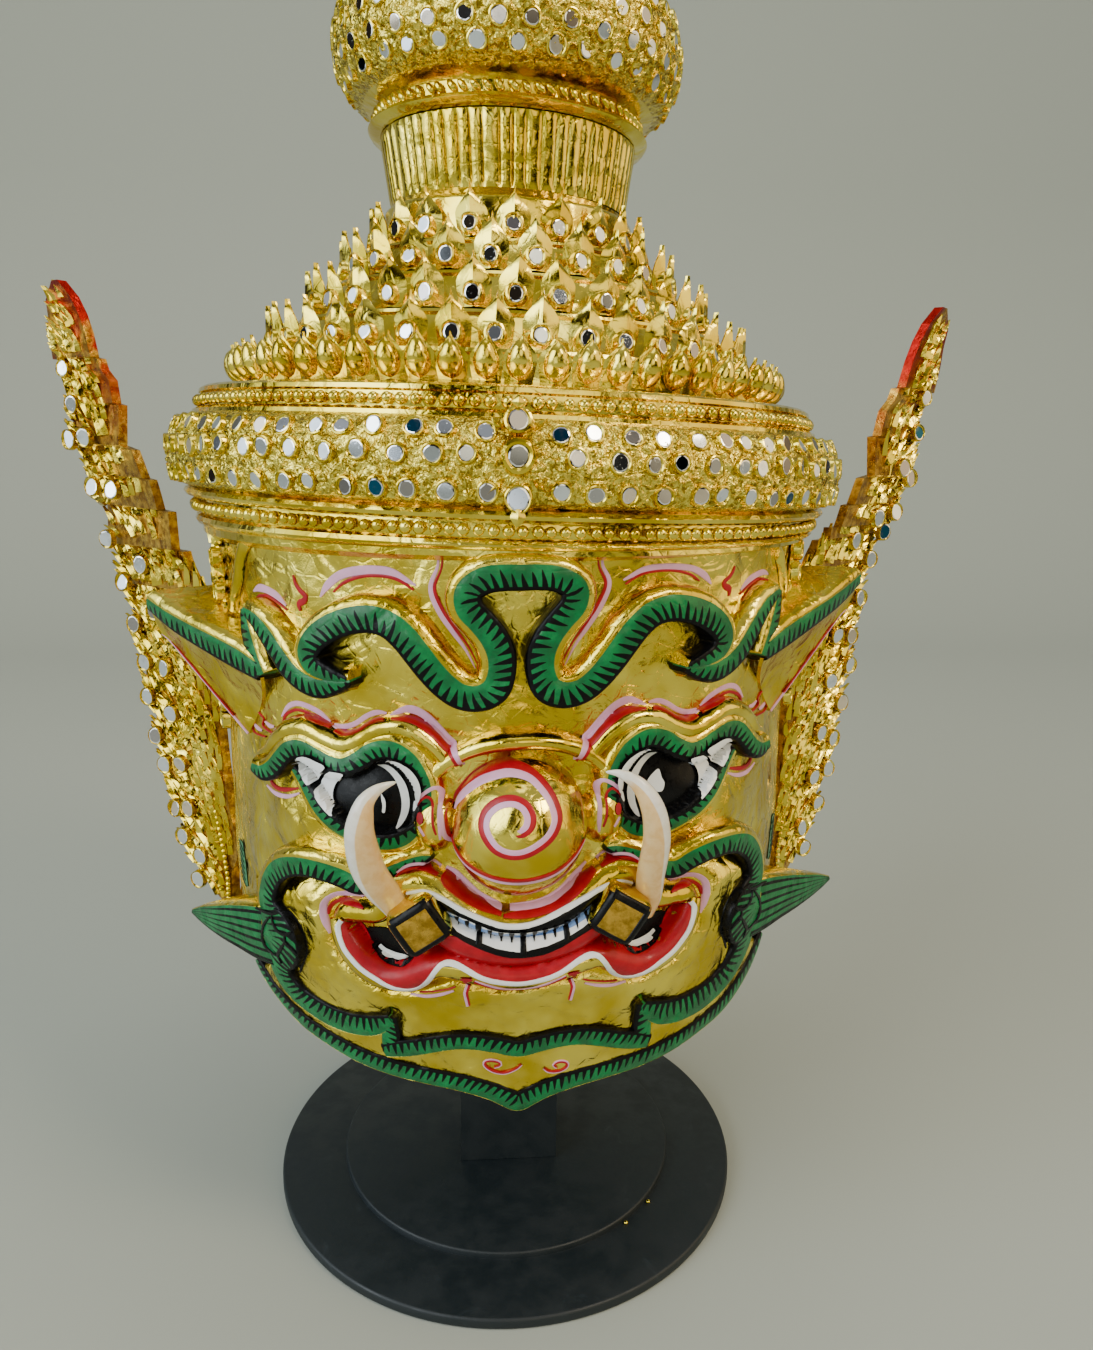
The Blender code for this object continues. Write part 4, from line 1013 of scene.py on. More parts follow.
for side in (1, -1):
    for colour, share, lift in ((P_PINK, 1, 0.35), (P_RED, 0.72, 0.55), (P_BLACK, 1, 0.4)):
        for half, points in MARKS[colour]:
            add_stroke(with_tips(points, half * share, 0.12, 0.3), side, colour, lift)
    two_tone(SIDE_MARK, side, 0.6, 0.9, -1, 0.4)
    add_fill(oval((15.7, 214.2), 1.3, 2.1), side, P_RED, 0.3)
    add_stroke(TICK, side, P_RED, 0.4)
    add_stroke([(a + 0.35, z - 0.4, 0.6 - 0.03 * k) for k, (a, z) in enumerate(DRIP)][2:],
               side, P_PINK, 0.3)
    add_stroke([(a, z, 0.75 - 0.1 * k) for k, (a, z) in enumerate(DRIP)], side, P_RED, 0.4)
    for middle, wide, high in (((8.2, 160.4), 2.1, 0.75), ((8.2, 156.4), 1.6, 0.7)):
        add_fill(oval(middle, wide, high), side, P_RED, 0.45, 0.6)
    add_fill(EYE, side, P_BLACK, 0.25, 1.0)
    for outline in (*EYE_WHITES, GLINTS[side]):
        add_fill(outline, side, P_WHITE, 1.3, 0.6)
    add_fill(CHEEK_TAB, side, P_GREEN, 0.3, smooth=False)
    for drop in np.arange(7) * 2.5:
        add_stroke([(65.6, 183 - drop, 0.5), (63.8, 181.8 - drop, 0.4), (62.6, 181 - drop, 0.15)],
                   side, P_BLACK, 0.5)
    add_fill(SIDE_DARK, side, P_BLACK, 0.5, 0.9)
    add_fill(SIDE_TOOTH, side, P_WHITE, 0.9, 0.6)
    corners = [socket_corner(*c) for c in ((1, 1), (-1, 1), (-1, -1), (1, -1), (1, 1))]
    for a, b, half in zip(corners, corners[1:], (1.35, 0.95, 0.9, 1.15)):
        line = straight([(*a, half), (*b, half)], 1.0)
        add_stroke([tuple(row) for row in line], side, P_BLACK, 0.3, tree=SOCKETS)
add_stroke([(*place, 0.85) for place in spanning(LIP_WHITE)], 1, P_WHITE, 0.75)
add_stroke([(a, z, 1.3) for a, z in spanning(LIP_INSIDE[8:])], 1, P_RED, 0.3)
add_fill(spanning(LIP_WHITE) + spanning(LIP_INSIDE)[::-1], 1, P_RED, 0.35, 0.9, False)
two_tone(spanning(LOW_LINE), 1, 0.35, 0.6, 1, 0.2)
for side, colour, rows in LIP_LINES:
    add_stroke(rows, side, colour, 0.4 + 0.2 * (colour == P_RED))
two_tone(SPIRAL, 1, 0.85, 0.95, -1, 0.06)
two_tone(NOSE_LOW, 1, 0.6, 0.75, -1, 0.15)
for points in CHIN_CURLS:
    two_tone([(a, z + 1.7) for a, z in points], 1, 0.4, 0.3, 1 if points[0][0] > -2 else -1, 0.2)
add_fill(MOUTH_TOP + MOUTH_LOW, 1, P_BLACK, 0.45, 0.9, False)
add_fill(TEETH_TOP + TEETH_LOW, 1, P_WHITE, 0.75, 0.8, False)
add_stroke(with_tips(MOUTH_TOP, 0.8, 0.1, 0.4), 1, P_WHITE, 0.9)
teeth_top = np.array(TEETH_TOP)[::-1]
teeth_low = np.array(TEETH_LOW)
add_stroke([(a, z - 1.9, 1.5) for a, z in TEETH_TOP[::-1]], 1, P_BLUE, 0.95)
for angle in TEETH_GAPS:
    top = np.interp(angle, teeth_top[:, 0], teeth_top[:, 1])
    low = np.interp(angle, teeth_low[:, 0], teeth_low[:, 1])
    add_stroke([(angle, top + 0.6, 1.1), (angle, (top + low) / 2, 1.0), (angle, low - 0.6, 1.1)],
               1, P_BLACK, 1.2)
    for step in (-4.9, -3.3, -1.7, 1.7, 3.3):
        spot = angle + step
        if not -11.2 < spot < 11.0:
            continue
        top = np.interp(spot, teeth_top[:, 0], teeth_top[:, 1])
        add_stroke([(spot, top, 0.8), (spot, top - 2.2, 0.6), (spot, top - 4.4, 0.12)],
                   1, P_BLACK, 1.2)

# temple ornament and the foil web behind the brow wings
def face_spot(side, angle, z, lift):
    """Place on the face with its sideways, upward and outward directions."""
    here = on_face(-side * angle, z, lift)
    out = unit(on_face(-side * angle, z, lift + 1) - here)
    up = on_face(-side * angle, z + 1, lift) - here
    up = unit(up - out * up.dot(out))
    return here, np.cross(up, out), up, out


def add_tube(heap, points, radius, slot):
    """Thin round line through the points."""
    run = unit(np.gradient(points, axis=0))
    over = unit(np.cross(run, (0.0, -1.0, 0.0)))
    out = np.cross(over, run)
    turns = full_turn(8)[None, :, None]
    swell = np.minimum(1, np.linspace(0.25, 4, len(points)))[:, None, None] * radius
    ring = np.cos(turns) * over[:, None] + np.sin(turns) * out[:, None]
    heap.add(points[:, None] + ring * swell, capped(len(points), 8), slot)


# crown: tiers, mirror band, beads, petals and drum; profiles are radius and height
RNG = np.random.default_rng(7)
CROWN = (
    (119, 297), (121.6, 298.5), (121.6, 300.2), (123.4, 300.9), (124.2, 302), (123.6, 303.2), (121.8, 304),
    (122.6, 306.5), (122.2, 308.6), (124.6, 309), (126.8, 309.8), (127.5, 311), (126.9, 312.2),
    (125.2, 312.9), (127, 313.5),
)
BAND = (
    (127, 313.5), (129.6, 314.8), (130.8, 317), (131.5, 320.5), (131.9, 324.5), (131.6, 328.5),
    (130.4, 332.5), (128, 335.8), (125.2, 338), (122.8, 339),
)
TIERS = (
    (122.8, 339), (122.6, 340.2), (121.2, 341), (119.4, 341.4), (119.6, 343.5), (119.2, 345.7),
    (120.2, 346.4), (120, 347.7), (118.6, 348.6), (107.4, 349.3), (105.4, 350), (100.6, 351.2),
    (96.6, 358.4), (97.1, 359.4), (96.7, 360.6), (93.4, 361), (89.6, 362), (82.8, 372), (83.2, 373),
    (82.8, 374), (79, 374.4), (75, 375.6), (69.6, 386), (70, 387), (69.4, 388), (66, 388.4), (62.2, 389.8),
    (57.7, 398.6), (58.1, 399.6), (57.3, 400.6), (54.6, 401), (51.8, 402.4), (48.6, 413.6), (48.8, 415.2),
    (48.2, 416.6), (46.6, 417.6), (45.4, 419.5),
)
DRUM_FLUTES = 60
DRUM_FOOT, DRUM_TOP = (45.4, 419.5), (49, 443.7)
PASTE_STEP = 0.76            # spacing of the points under the paste
BAND_MIRRORS = 76


def turned(heap, profile, count, slot, wave=None, foot=False, top=False):
    """Turned skin of the crown; wave(turn, z) adds to the radius."""
    profile = np.array(profile, float)
    turns = full_turn(count)
    radius = np.repeat(profile[:, :1], count, 1)
    if wave is not None:
        radius = radius + wave(turns[None, :], profile[:, 1:2])
    points = around(radius, turns[None, :], np.repeat(profile[:, 1:2], count, 1))
    faces = grid(len(profile), count, True)
    if foot:
        faces.append(tuple(range(count)))
    if top:
        faces.append(tuple(range(count * (len(profile) - 1), count * len(profile))))
    heap.add(points, faces, slot)


def unevenness(amount, seed):
    """Slow hand-made waves of a turned form."""
    rng = np.random.default_rng(seed)
    phases = rng.uniform(0, 6.28, (5, 2))
    sizes = rng.uniform(0.4, 1, 5) * amount

    def wave(turn, z):
        total = 0 * turn * z
        for k in range(5):
            total = total + sizes[k] * np.sin((k + 2) * turn + phases[k, 0] + 0.11 * z * (k + 1)) / (k + 1)
        return total
    return wave


def finer(profile, spacing):
    """Profile with points close together along straight runs."""
    out = []
    for a, b in zip(profile, profile[1:]):
        count = max(int(math.dist(a, b) / spacing), 1)
        out += [tuple(p + (q - p) * k / count for p, q in zip(a, b)) for k in range(count)]
    return out + [profile[-1]]


def squiggles(turn, z, radius):
    """Ridges of thick lacquer paste laid by hand between the mirrors, 0 to 1."""
    turn, z, radius = np.broadcast_arrays(turn, z, radius)
    height = np.empty(turn.shape)
    spots = np.stack([radius * np.sin(turn), radius * np.cos(turn), z], -1).reshape(-1, 3) * 0.21
    for k, spot in enumerate(spots.tolist()):
        place = Vector(spot)
        value = noise.noise(place + 0.55 * noise.noise_vector(place * 1.3))
        height.flat[k] = (1 - min(abs(value) * 4.2, 1)) ** 2 * 0.8 + max(noise.noise(place * 2.3), 0) * 0.9
    return height


def add_paste(heap, profile, count, depth, waves):
    """Turned skin covered with squiggles of paste."""
    profile = np.array(finer(profile, PASTE_STEP))
    steps = np.arange(len(profile))
    fade = np.clip(np.minimum(steps, steps[::-1]) / 3, 0, 1)[:, None]

    def relief(turn, z):
        return waves(turn, z) + depth * fade * squiggles(turn, z, profile[:, :1])
    turned(heap, profile, count, 0, relief)


def staggered(k, count, row, spread):
    """Angle of one of many places round the crown, half a step further on in every other row."""
    return 2 * math.pi * (k + 0.5 * (row % 2) + RNG.uniform(-spread, spread)) / count


def spot_frame(radius, turn, z, rise):
    """Place on the crown with its sideways, upward and outward directions."""
    place = around(radius, turn, z)
    out = np.array([math.sin(turn) * math.cos(rise), -math.cos(turn) * math.cos(rise), math.sin(rise)])
    side = unit(np.array([math.cos(turn), math.sin(turn), CROWN_LEAN * math.cos(turn)]))
    up = np.cross(side, out)
    up = up * (1 if up[2] > 0 else -1)
    return place, side, up, out


def add_beads(heap, radius, z, pitch, size, rise=0.0, slant=0.0):
    """Row of small beads round the crown, each a little different."""
    count = int(2 * math.pi * radius / pitch)
    base, faces = ball((0, 0, 0), (1, 1, 1), 10, 6)
    for k in range(count):
        place, side, up, out = spot_frame(radius, staggered(k, count, 0, 0.12), z, rise)
        scale = size * RNG.uniform(0.88, 1.1)
        tilt = slant + RNG.uniform(-0.1, 0.1)
        a = side * math.cos(tilt) + up * math.sin(tilt)
        b = up * math.cos(tilt) - side * math.sin(tilt)
        wide, long = (0.8, 1.5) if slant else (1.0, 1.0)
        points = place + (base[:, :1] * a * wide + base[:, 1:2] * out + base[:, 2:] * b * long) * scale
        heap.add(points, faces)


def add_mirror(frame_heap, glass_heap, where, wide, high, bezel=1.0, proud=1.0, sunk=0.0):
    """Hand-cut mirror in a rounded raised ring of paste."""
    place, side, up, out = where
    turns = full_turn(20)
    ring = np.stack([np.cos(turns) * wide, np.sin(turns) * high], -1)
    phase = RNG.uniform(0, 6)
    rows = []
    for grow, rise in ((1.25, -1.6), (1.0, 0.0), (0.8, 0.6), (0.4, 0.78), (0.08, 0.5), (-0.02, 0.0),
                       (-0.04, -1.2)):
        edge = ring * (1 + grow * bezel / np.array([wide, high]))
        edge = edge * (1 + 0.035 * np.sin(3 * turns + phase))[:, None]
        rows.append(place + edge[:, :1] * side + edge[:, 1:] * up + out * rise * proud)
    frame_heap.add(np.concatenate(rows), grid(len(rows), len(turns), True))
    tip = RNG.normal(0, 0.09, 2)
    face = unit(out + side * tip[0] + up * tip[1])
    a = unit(side - face * side.dot(face))
    b = unit(up - face * up.dot(face))
    corners = 13
    ends = RNG.uniform(0, 6) + full_turn(corners) + RNG.normal(0, 0.05, corners)
    cut = np.stack([np.cos(ends) * wide, np.sin(ends) * high], -1) * RNG.uniform(0.97, 1.05, (corners, 1))
    # random pick of this mirror's painted reflection colour
    shade = RNG.uniform()
    rings = [place + cut[:, :1] * grow * a + cut[:, 1:] * grow * b + face * (rise - sunk)
             for grow, rise in ((1.0, -0.6), (1.0, 0.30), (0.86, 0.38))]
    glass_heap.add(np.concatenate(rings), grid(3, corners, True), shade=shade, rim=1.0)
    glass_heap.add(rings[-1], [tuple(range(corners))], shade=shade, rim=0.0)


def add_blade(heap, where, height, half, keel, lean, swell, foot=0.6, rows=12, columns=12,
              taper=0.28):
    """Pointed leaf with a sharp keel; where holds its foot and its side, up and out directions."""
    place, side, up, out = where
    t = np.linspace(0, 1, rows)[:, None]
    width = half * np.clip((foot + (1 - foot) * np.sin(np.pi * np.clip(t / 0.56, 0, 1) / 2))
                           * (1 - eased(taper, 1.0, t) ** 0.9), 0.015, 1)
    depth = keel * (1 - 0.72 * t)
    turns = full_turn(columns)[None, :]
    front = np.sin(turns)
    relief = np.where(front > 1e-6, (1 - np.abs(np.cos(turns)) ** 1.15) * depth,
                      np.where(front < -1e-6, -0.7, 0.0))
    out_by = relief + lean * t ** 2 + swell * np.sin(np.pi * t)
    across = np.cos(turns) * width + RNG.normal(0, 0.04) * height * t ** 2
    points = (place + across[..., None] * side + (height * t * np.ones_like(turns))[..., None] * up
              + out_by[..., None] * out)
    heap.add(points, capped(rows, columns))


def add_bud(heap, where, height, half):
    """Egg-shaped bud with a pointed top in front of a thin leaf that frames it."""
    add_blade(heap, where, height + 1.4, half + 0.5, 1.6, 2.6, 1.0, 0.8, taper=0.5)
    place, side, up, out = where
    rows, columns = 12, 16
    t = np.linspace(0, 1, rows)[:, None]
    width = (half - 0.5) * np.clip(np.sin(np.pi * t ** 0.9) ** 0.55 * (1 - 0.22 * t ** 2), 0.02, 1)
    turns = full_turn(columns)[None, :]
    out_by = 1.4 + np.sin(turns) * width * 0.95 + 2.6 * t ** 2 + np.sin(np.pi * t)
    points = (place + (np.cos(turns) * width)[..., None] * side + out_by[..., None] * out
              + (height * (0.04 + 0.92 * t) * np.ones_like(turns))[..., None] * up)
    heap.add(points, capped(rows, columns))


crown_waves = unevenness(0.3, 3)
body = Heap()
turned(body, finer(CROWN, 1.5), 360, 0, crown_waves)
turned(body, TIERS, 360, 0, crown_waves)
flute_phase = RNG.normal(0, 0.12, DRUM_FLUTES + 1)


def flutes(turn, z):
    """Raised ribs of the drum, uneven by hand."""
    even = turn / (2 * math.pi) * DRUM_FLUTES
    place = even + np.interp(even, np.arange(DRUM_FLUTES + 1), flute_phase)
    end = 1 - np.clip((np.abs(z - 431.6) - 10.6) / 1.5, 0, 1)
    return (1.25 * np.abs(np.sin(np.pi * (place % 1.0))) ** 0.45 - 0.9) * end


turned(body, finer((DRUM_FOOT, DRUM_TOP), 1), 840, 0, flutes)
turned(body, ((49.2, 443.7), (47.5, 443.95), (1.0, 443.95)), 90, 0, top=True)
turned(body, ((114, 297), (113, 318), (108, 340), (72, 371), (46, 398), (36, 410)), 90, 1,
       top=True)
turned(body, ((114, 297), (119, 297)), 90, 1)

paste = Heap()
add_paste(paste, BAND, 1150, 1.25, crown_waves)

temples, temple_bezels, temple_glass = Heap(), Heap(), Heap("shade", "rim")
web = Heap()
for side in (1, -1):
    for z in np.arange(236, 297, 4.6):
        for angle in (61.5, 64.4, 67.4):
            turn = angle + RNG.uniform(-0.7, 0.7) + 0.05 * (z - 260)
            place, across, up, out = face_spot(side, turn, z, 0.4)
            tilt = -side * (angle - 64.4) * 0.22 + RNG.normal(0, 0.25)
            way = up * math.cos(tilt) + across * math.sin(tilt)
            add_blade(temples, (place, np.cross(way, out), way, out), RNG.uniform(6.5, 9), 2.1, 2.0, 1.4,
                      0.6, 0.5, 8, 8)
    for angle, z in ((63, 293), (62.2, 283), (66.5, 240), (66.2, 233)):
        add_mirror(temple_bezels, temple_glass, face_spot(side, angle, z, 3.6), 2.3, 2.9, 1.0, 1.2)
    rows = []
    for t in np.linspace(0, 1, 24):
        top = np.array([read(np.column_stack([np.linspace(0, 1, 6), BROW_WING]), t, k) for k in (1, 2, 4)])
        low = np.array([69.5 + (55 - 69.5) * t, 266.5 + (232 - 266.5) * t, 22 + (1.5 - 22) * t ** 0.8])
        part = np.linspace(0, 1, 12)[:, None]
        line = top - (0, 2.0, 1.0) + (low - top + (0, 2.0, 1.0)) * part
        line[:, 2] -= 3.0 * np.sin(np.pi * part[:, 0]) * t
        under = on_face(-side * line[:, 0], line[:, 1], line[:, 2] - 1.4)
        rows.append(np.concatenate([on_face(-side * line[:, 0], line[:, 1], line[:, 2]), under[::-1]]))
    web.add(np.concatenate(rows), capped(24, 24))
    edge = np.array([row[11] for row in rows])
    add_tube(web, edge, 0.55, 1)
    add_tube(web, edge[2:20] + (0, -0.35, 0.3), 0.35, 2)

beads = Heap()
add_beads(beads, 123.9, 306.3, 4.4, 2.0)
add_beads(beads, 120.4, 343.5, 4.5, 1.95, 0.1)

bezels, glass = Heap(), Heap("shade", "rim")
MISSING = 1, -1          # row and place of the mirror that has fallen out
for row, (z, radius, rise) in enumerate(((318.2, 132.0, -0.16), (327.8, 132.8, 0.06), (335, 129.8, 0.42))):
    for k in range(BAND_MIRRORS):
        turn = (staggered(k, BAND_MIRRORS, row, 0.13) + math.pi) % (2 * math.pi) - math.pi
        if abs(turn) < 0.055 or (row, round(turn * BAND_MIRRORS / (2 * math.pi) - 0.5)) == MISSING:
            continue
        where = spot_frame(radius, turn, z + RNG.uniform(-0.7, 0.7), rise)
        size = RNG.uniform(2.25, 2.6)
        add_mirror(bezels, glass, where, size, size * RNG.uniform(0.92, 1.1), 0.95, 0.9)

# lozenge in the middle of the band
for z, radius, rise, size, bezel, proud in (
        (338.2, 129.2, 0.30, 2.9, 1.5, 1.5), (328.2, 133.0, 0.04, 3.0, 2.4, 1.9),
        (316.2, 132.2, -0.06, 3.3, 0.9, 1.2)):
    where = spot_frame(radius, -0.012, z, rise)
    add_mirror(bezels, glass, where, size, size * 1.04, bezel, proud)
for z, tilt, height, half in ((341.6, 0.0, 4.4, 2.0), (335.6, 0.85, 6.0, 1.1), (335.6, -0.85, 6.0, 1.1),
                              (313.2, math.pi, 6.6, 2.5), (321.4, 2.3, 6.0, 1.1), (321.4, -2.3, 6.0, 1.1)):
    radius = 131.6 - 0.24 * max(z - 330, 0)
    place, side, up, out = spot_frame(radius, -0.012 + math.sin(tilt) * 0.045, z, 0.05)
    way = up * math.cos(tilt) + side * math.sin(tilt)
    add_blade(bezels, (place, np.cross(out, way), way, out), height, half, 1.6, 0.3, 0.4)

petals = Heap()
for row, (count, radius, z, length) in enumerate(PETALS):
    for k in range(count):
        turn = staggered(k, count, row, 0.06)
        if row == 0:
            add_bud(petals, spot_frame(radius - 2.0, turn, z, -0.12), length + RNG.uniform(-0.5, 0.5), 4.8)
            continue
        size = RNG.uniform(2.2, 2.55)
        height = length * RNG.uniform(0.94, 1.04)
        add_blade(petals, spot_frame(radius - 1.2, turn, z + 0.6, 0.0), height, 6.0, 3.6, 2.6, 1.0, 0.85,
                  taper=0.45)
        add_mirror(bezels, glass, spot_frame(radius + 2.6, turn, z + 4.9, 0.12), size, size * 1.08,
                   1.3, 1.5, -0.2)

spire = Heap()
SPIRE = (
    (50, 444), (52.6, 444.8), (53.6, 446.2), (52.8, 447.4), (50.4, 447.9), (50.2, 450), (50.2, 452),
    (48, 452.8), (47.9, 453.7), (50.5, 454.2), (55, 455.3),
)
BULB = (
    (55, 455.3), (58.4, 457.2), (61.2, 460), (63.6, 464), (65, 468.5), (65.2, 472), (65, 476), (64, 481),
    (61.8, 486.5), (58.5, 492), (53.8, 497), (47.4, 501.5), (39.6, 505.4), (32, 508.5), (25, 510.6),
)
SPIRE_TOP = (
    (25, 510.6), (20.5, 511.6), (20.4, 512.4), (23.2, 513.4), (24.2, 515.5), (23.4, 518.2), (21, 520.2),
    (17.8, 521.2), (17.6, 522.4), (20.6, 525.4), (24, 530), (26.2, 535), (26.8, 540), (26, 545.4),
    (23.6, 551), (19.2, 556.4), (14.2, 560.6), (10.6, 562.8), (10.8, 563.8), (12.6, 564.6), (13, 566),
    (12.4, 567.6), (9.6, 569.4), (9, 571), (9.5, 583), (7.6, 595), (4.8, 611), (2.6, 621), (1.2, 628.4),
    (0.4, 628.9),
)
spire_waves = unevenness(0.25, 9)
turned(spire, SPIRE, 240, 0, spire_waves, foot=True)
turned(spire, SPIRE_TOP, 120, 0, spire_waves, top=True)
add_beads(spire, 50.8, 450, 4.3, 1.7, 0.1, 0.7)
spire_paste = Heap()
add_paste(spire_paste, BULB, 560, 1.2, spire_waves)
spire_bezels, spire_glass = Heap(), Heap("shade", "rim")
for row, (z, radius, rise, count) in enumerate((
        (460.2, 61.3, -0.38, 32), (466.4, 64.6, -0.22, 34), (474.8, 65.4, 0.0, 34),
        (483, 63.6, 0.25, 34), (490.6, 59.4, 0.55, 32), (497.2, 53.6, 0.85, 28),
        (536, 26.4, -0.1, 15), (543, 26.4, 0.15, 15))):
    for k in range(count):
        turn = staggered(k, count, row, 0.14)
        where = spot_frame(radius + 0.2, turn, z + RNG.uniform(-0.8, 0.8), rise)
        size = RNG.uniform(2.3, 2.75)
        add_mirror(spire_bezels, spire_glass, where, size, size * RNG.uniform(0.95, 1.1))


# ear ornaments: height, front edge and back edge of the plate, both measured sideways
EAR = (
    (133, 120.5, 123), (141, 119.8, 134.5), (150, 119.6, 141), (160, 120.4, 145), (176, 122.2, 148),
    (184, 123.4, 153), (200, 124.4, 152.5), (207, 124.8, 157), (222, 125.4, 156.5), (229, 125.8, 161.5),
    (243, 126.2, 160), (251, 126.5, 166), (266, 126.8, 164.5), (276, 127.2, 170.5), (277, 130.4, 168),
    (291.4, 130.6, 169), (292, 135, 173.5), (302, 135.4, 171.8), (302.6, 139.6, 174.5), (313, 142, 177.5),
    (313.6, 144.6, 174.6), (324.4, 147.8, 178), (326, 152.4, 180.5), (341.4, 151.2, 179),
    (342, 153.4, 182.5), (352, 155.1, 180), (356.5, 158.3, 183.3), (361.2, 159.7, 181.7),
    (361.8, 162.2, 185.6), (372.1, 164.5, 186.7), (380.1, 167, 185.7), (387.1, 170.2, 185.2),
    (393.7, 175.1, 178.5),
)
PEAKS = (160, 184, 207, 229, 251, 276, 292, 313, 326, 342, 356.5, 372.1)
EAR_Y, PLATE = -8.0, 3.6                        # place of the front edge, thickness
EAR_LIMIT, EAR_SPARE = 181, 6.6                 # relief beyond the limit is pressed into the spare room
TIP_BEND = {1: (1.0, 0.0), -1: (0.86, 5.0)}     # the left tip is shorter and bent inwards


def on_ear(side, x, z, front, lift):
    """Point on the outer face of an ear ornament, raised by lift; x is measured sideways."""
    shrink, bend = TIP_BEND[side]
    above = np.maximum(z - 342, 0)
    push = (PLATE / 2 + lift) * math.sqrt(0.5)
    y = EAR_Y + (x - front) - push
    return leaned(np.stack([side * (x + push - bend * above / 52), y, z - (1 - shrink) * above], -1))


def ear_edge(z, column=1):
    """Front edge of the plate at a height, or its back edge for column 2."""
    rows = np.array(EAR, float)
    return np.interp(z, rows[:, 0], rows[:, column])


def ear_blade(heap, side, part, z, tilt, height, half, beyond=0.0):
    """Small leaf on an ornament; part runs from its front edge to its back edge."""
    front = ear_edge(z)
    x = front + (ear_edge(z, 2) - front) * part + beyond
    place = on_ear(side, x, z, front, 0.1)
    along = np.array([side, 1, 0]) * math.sqrt(0.5)
    out = np.array([side, -1, 0]) * math.sqrt(0.5)
    up = np.array([0, 0, math.cos(tilt)]) + along * math.sin(tilt)
    add_blade(heap, (place, np.cross(up, out), up, out), height, half, 1.9, 2.2, 0.4, 0.6, 7, 8)


def ear_piece(side):
    """Plate of one ornament with its raised leaves, mirrors and bead rope."""
    plate, leaves, mirrors = Heap(), Heap(), Heap("shade", "rim")
    z = np.unique(np.concatenate([[row[0] for row in EAR], np.arange(133, 393, 2.0)]))
    front, back = ear_edge(z)[:, None], ear_edge(z, 2)[:, None]
    columns = 12
    inner = 6 * eased(150, 166, z[:, None]) * (1 - eased(278, 292, z[:, None]))
    x = front - inner + (back - front + inner) * np.linspace(0, 1, columns)[None, :]
    high = np.broadcast_to(z[:, None], x.shape)
    ring = np.concatenate([on_ear(side, x, high, front, 0.0),
                           on_ear(side, x, high, front, -PLATE)[:, ::-1]], 1)
    plate.add(ring, capped(len(z), 2 * columns))
    for level in np.arange(139, 386, 5.6):
        width = ear_edge(level, 2) - ear_edge(level)
        start = 0.17 - 0.36 * eased(150, 166, level) * (1 - eased(278, 292, level))
        across = max(int(width * (0.97 - start) / 3.3), 1)
        for k in range(across):
            part = start + (0.91 - start - 0.15 * (level > 352)) * (k + RNG.uniform(0.2, 0.8)) / across
            small = 0.7 if level > 350 else 1.0
            ear_blade(leaves, side, part, level + RNG.uniform(-1.6, 1.6),
                      0.15 + 0.75 * part + RNG.normal(0, 0.2), RNG.uniform(8.5, 12.5) * small,
                      RNG.uniform(1.5, 2.3) * small)
    reach = np.interp(z, (133, 150, 300, 345, 394), (1, 3.2, 3.2, 1.2, 0.2))
    for peak in PEAKS:
        crowded = peak > 350
        closer, straighter, length, beyond = (0.7, 0.5, 5.2, -1.6) if crowded else (
            1, 1, 8.6, 0.2 * float(np.interp(peak, z, reach)))
        for k, (drop, tilt) in enumerate(((0.5, 0.25), (3.2, 0.6), (6.4, 0.85), (10, 1.0))):
            ear_blade(leaves, side, 0.94, peak - drop * closer, tilt * straighter, length - 0.5 * k, 2.1,
                      beyond)
    frame_heap = Heap()
    along = np.array([side * 0.91, 0.415, 0])
    out = np.array([side * 0.415, -0.91, 0])
    for part, levels in ((0.86, np.arange(146, 372, 16.4)), (0.52, np.arange(158, 350, 21.5))):
        for level in levels + RNG.uniform(-2, 2, len(levels)):
            edge = ear_edge(level)
            low = float(1 - eased(330, 355, level))
            x = edge + (ear_edge(level, 2) - edge) * part - 3.0 * (1 - low)
            place = on_ear(side, x, level, edge, 3.0 + 1.4 * low)
            add_mirror(frame_heap, mirrors, (place, along, np.array([0, 0, 1.0]), out), 2.6 + 0.5 * low,
                       2.9 + 0.7 * low, 0.6, 1.1)
    base, bead_faces = ball((0, 0, 0), (1.25, 1.25, 1.5), 8, 6)
    for level in np.arange(139, 182, 2.6):
        edge = ear_edge(level)
        leaves.add(base + on_ear(side, edge + 1.4, level, edge, 0.9), bead_faces)
    for heap in (leaves, frame_heap, mirrors):
        for points in heap.points:
            far = np.abs(points[:, 0])
            pressed = EAR_LIMIT + EAR_SPARE * np.tanh((far - EAR_LIMIT) / EAR_SPARE)
            points[:, 0] = side * np.where(far > EAR_LIMIT, pressed, far)
    return plate, leaves, frame_heap, mirrors


for side, name in ((1, "right"), (-1, "left")):
    plate, leaves, frame_heap, mirrors = ear_piece(side)
    piece = plate.piece("ear_plate_" + name, "gilt_leather", [EDGE_GILT])
    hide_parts("ear_ornament_" + name)
    leaves.piece("ear_leaves_" + name, "gilt_leather", [FOIL_SMOOTH], 30)
    frame_heap.piece("ear_bezels_" + name, "gilt_leather", [FOIL_SMOOTH])
    mirrors.piece("ear_mirrors_" + name, "gilt_leather", [MIRROR])

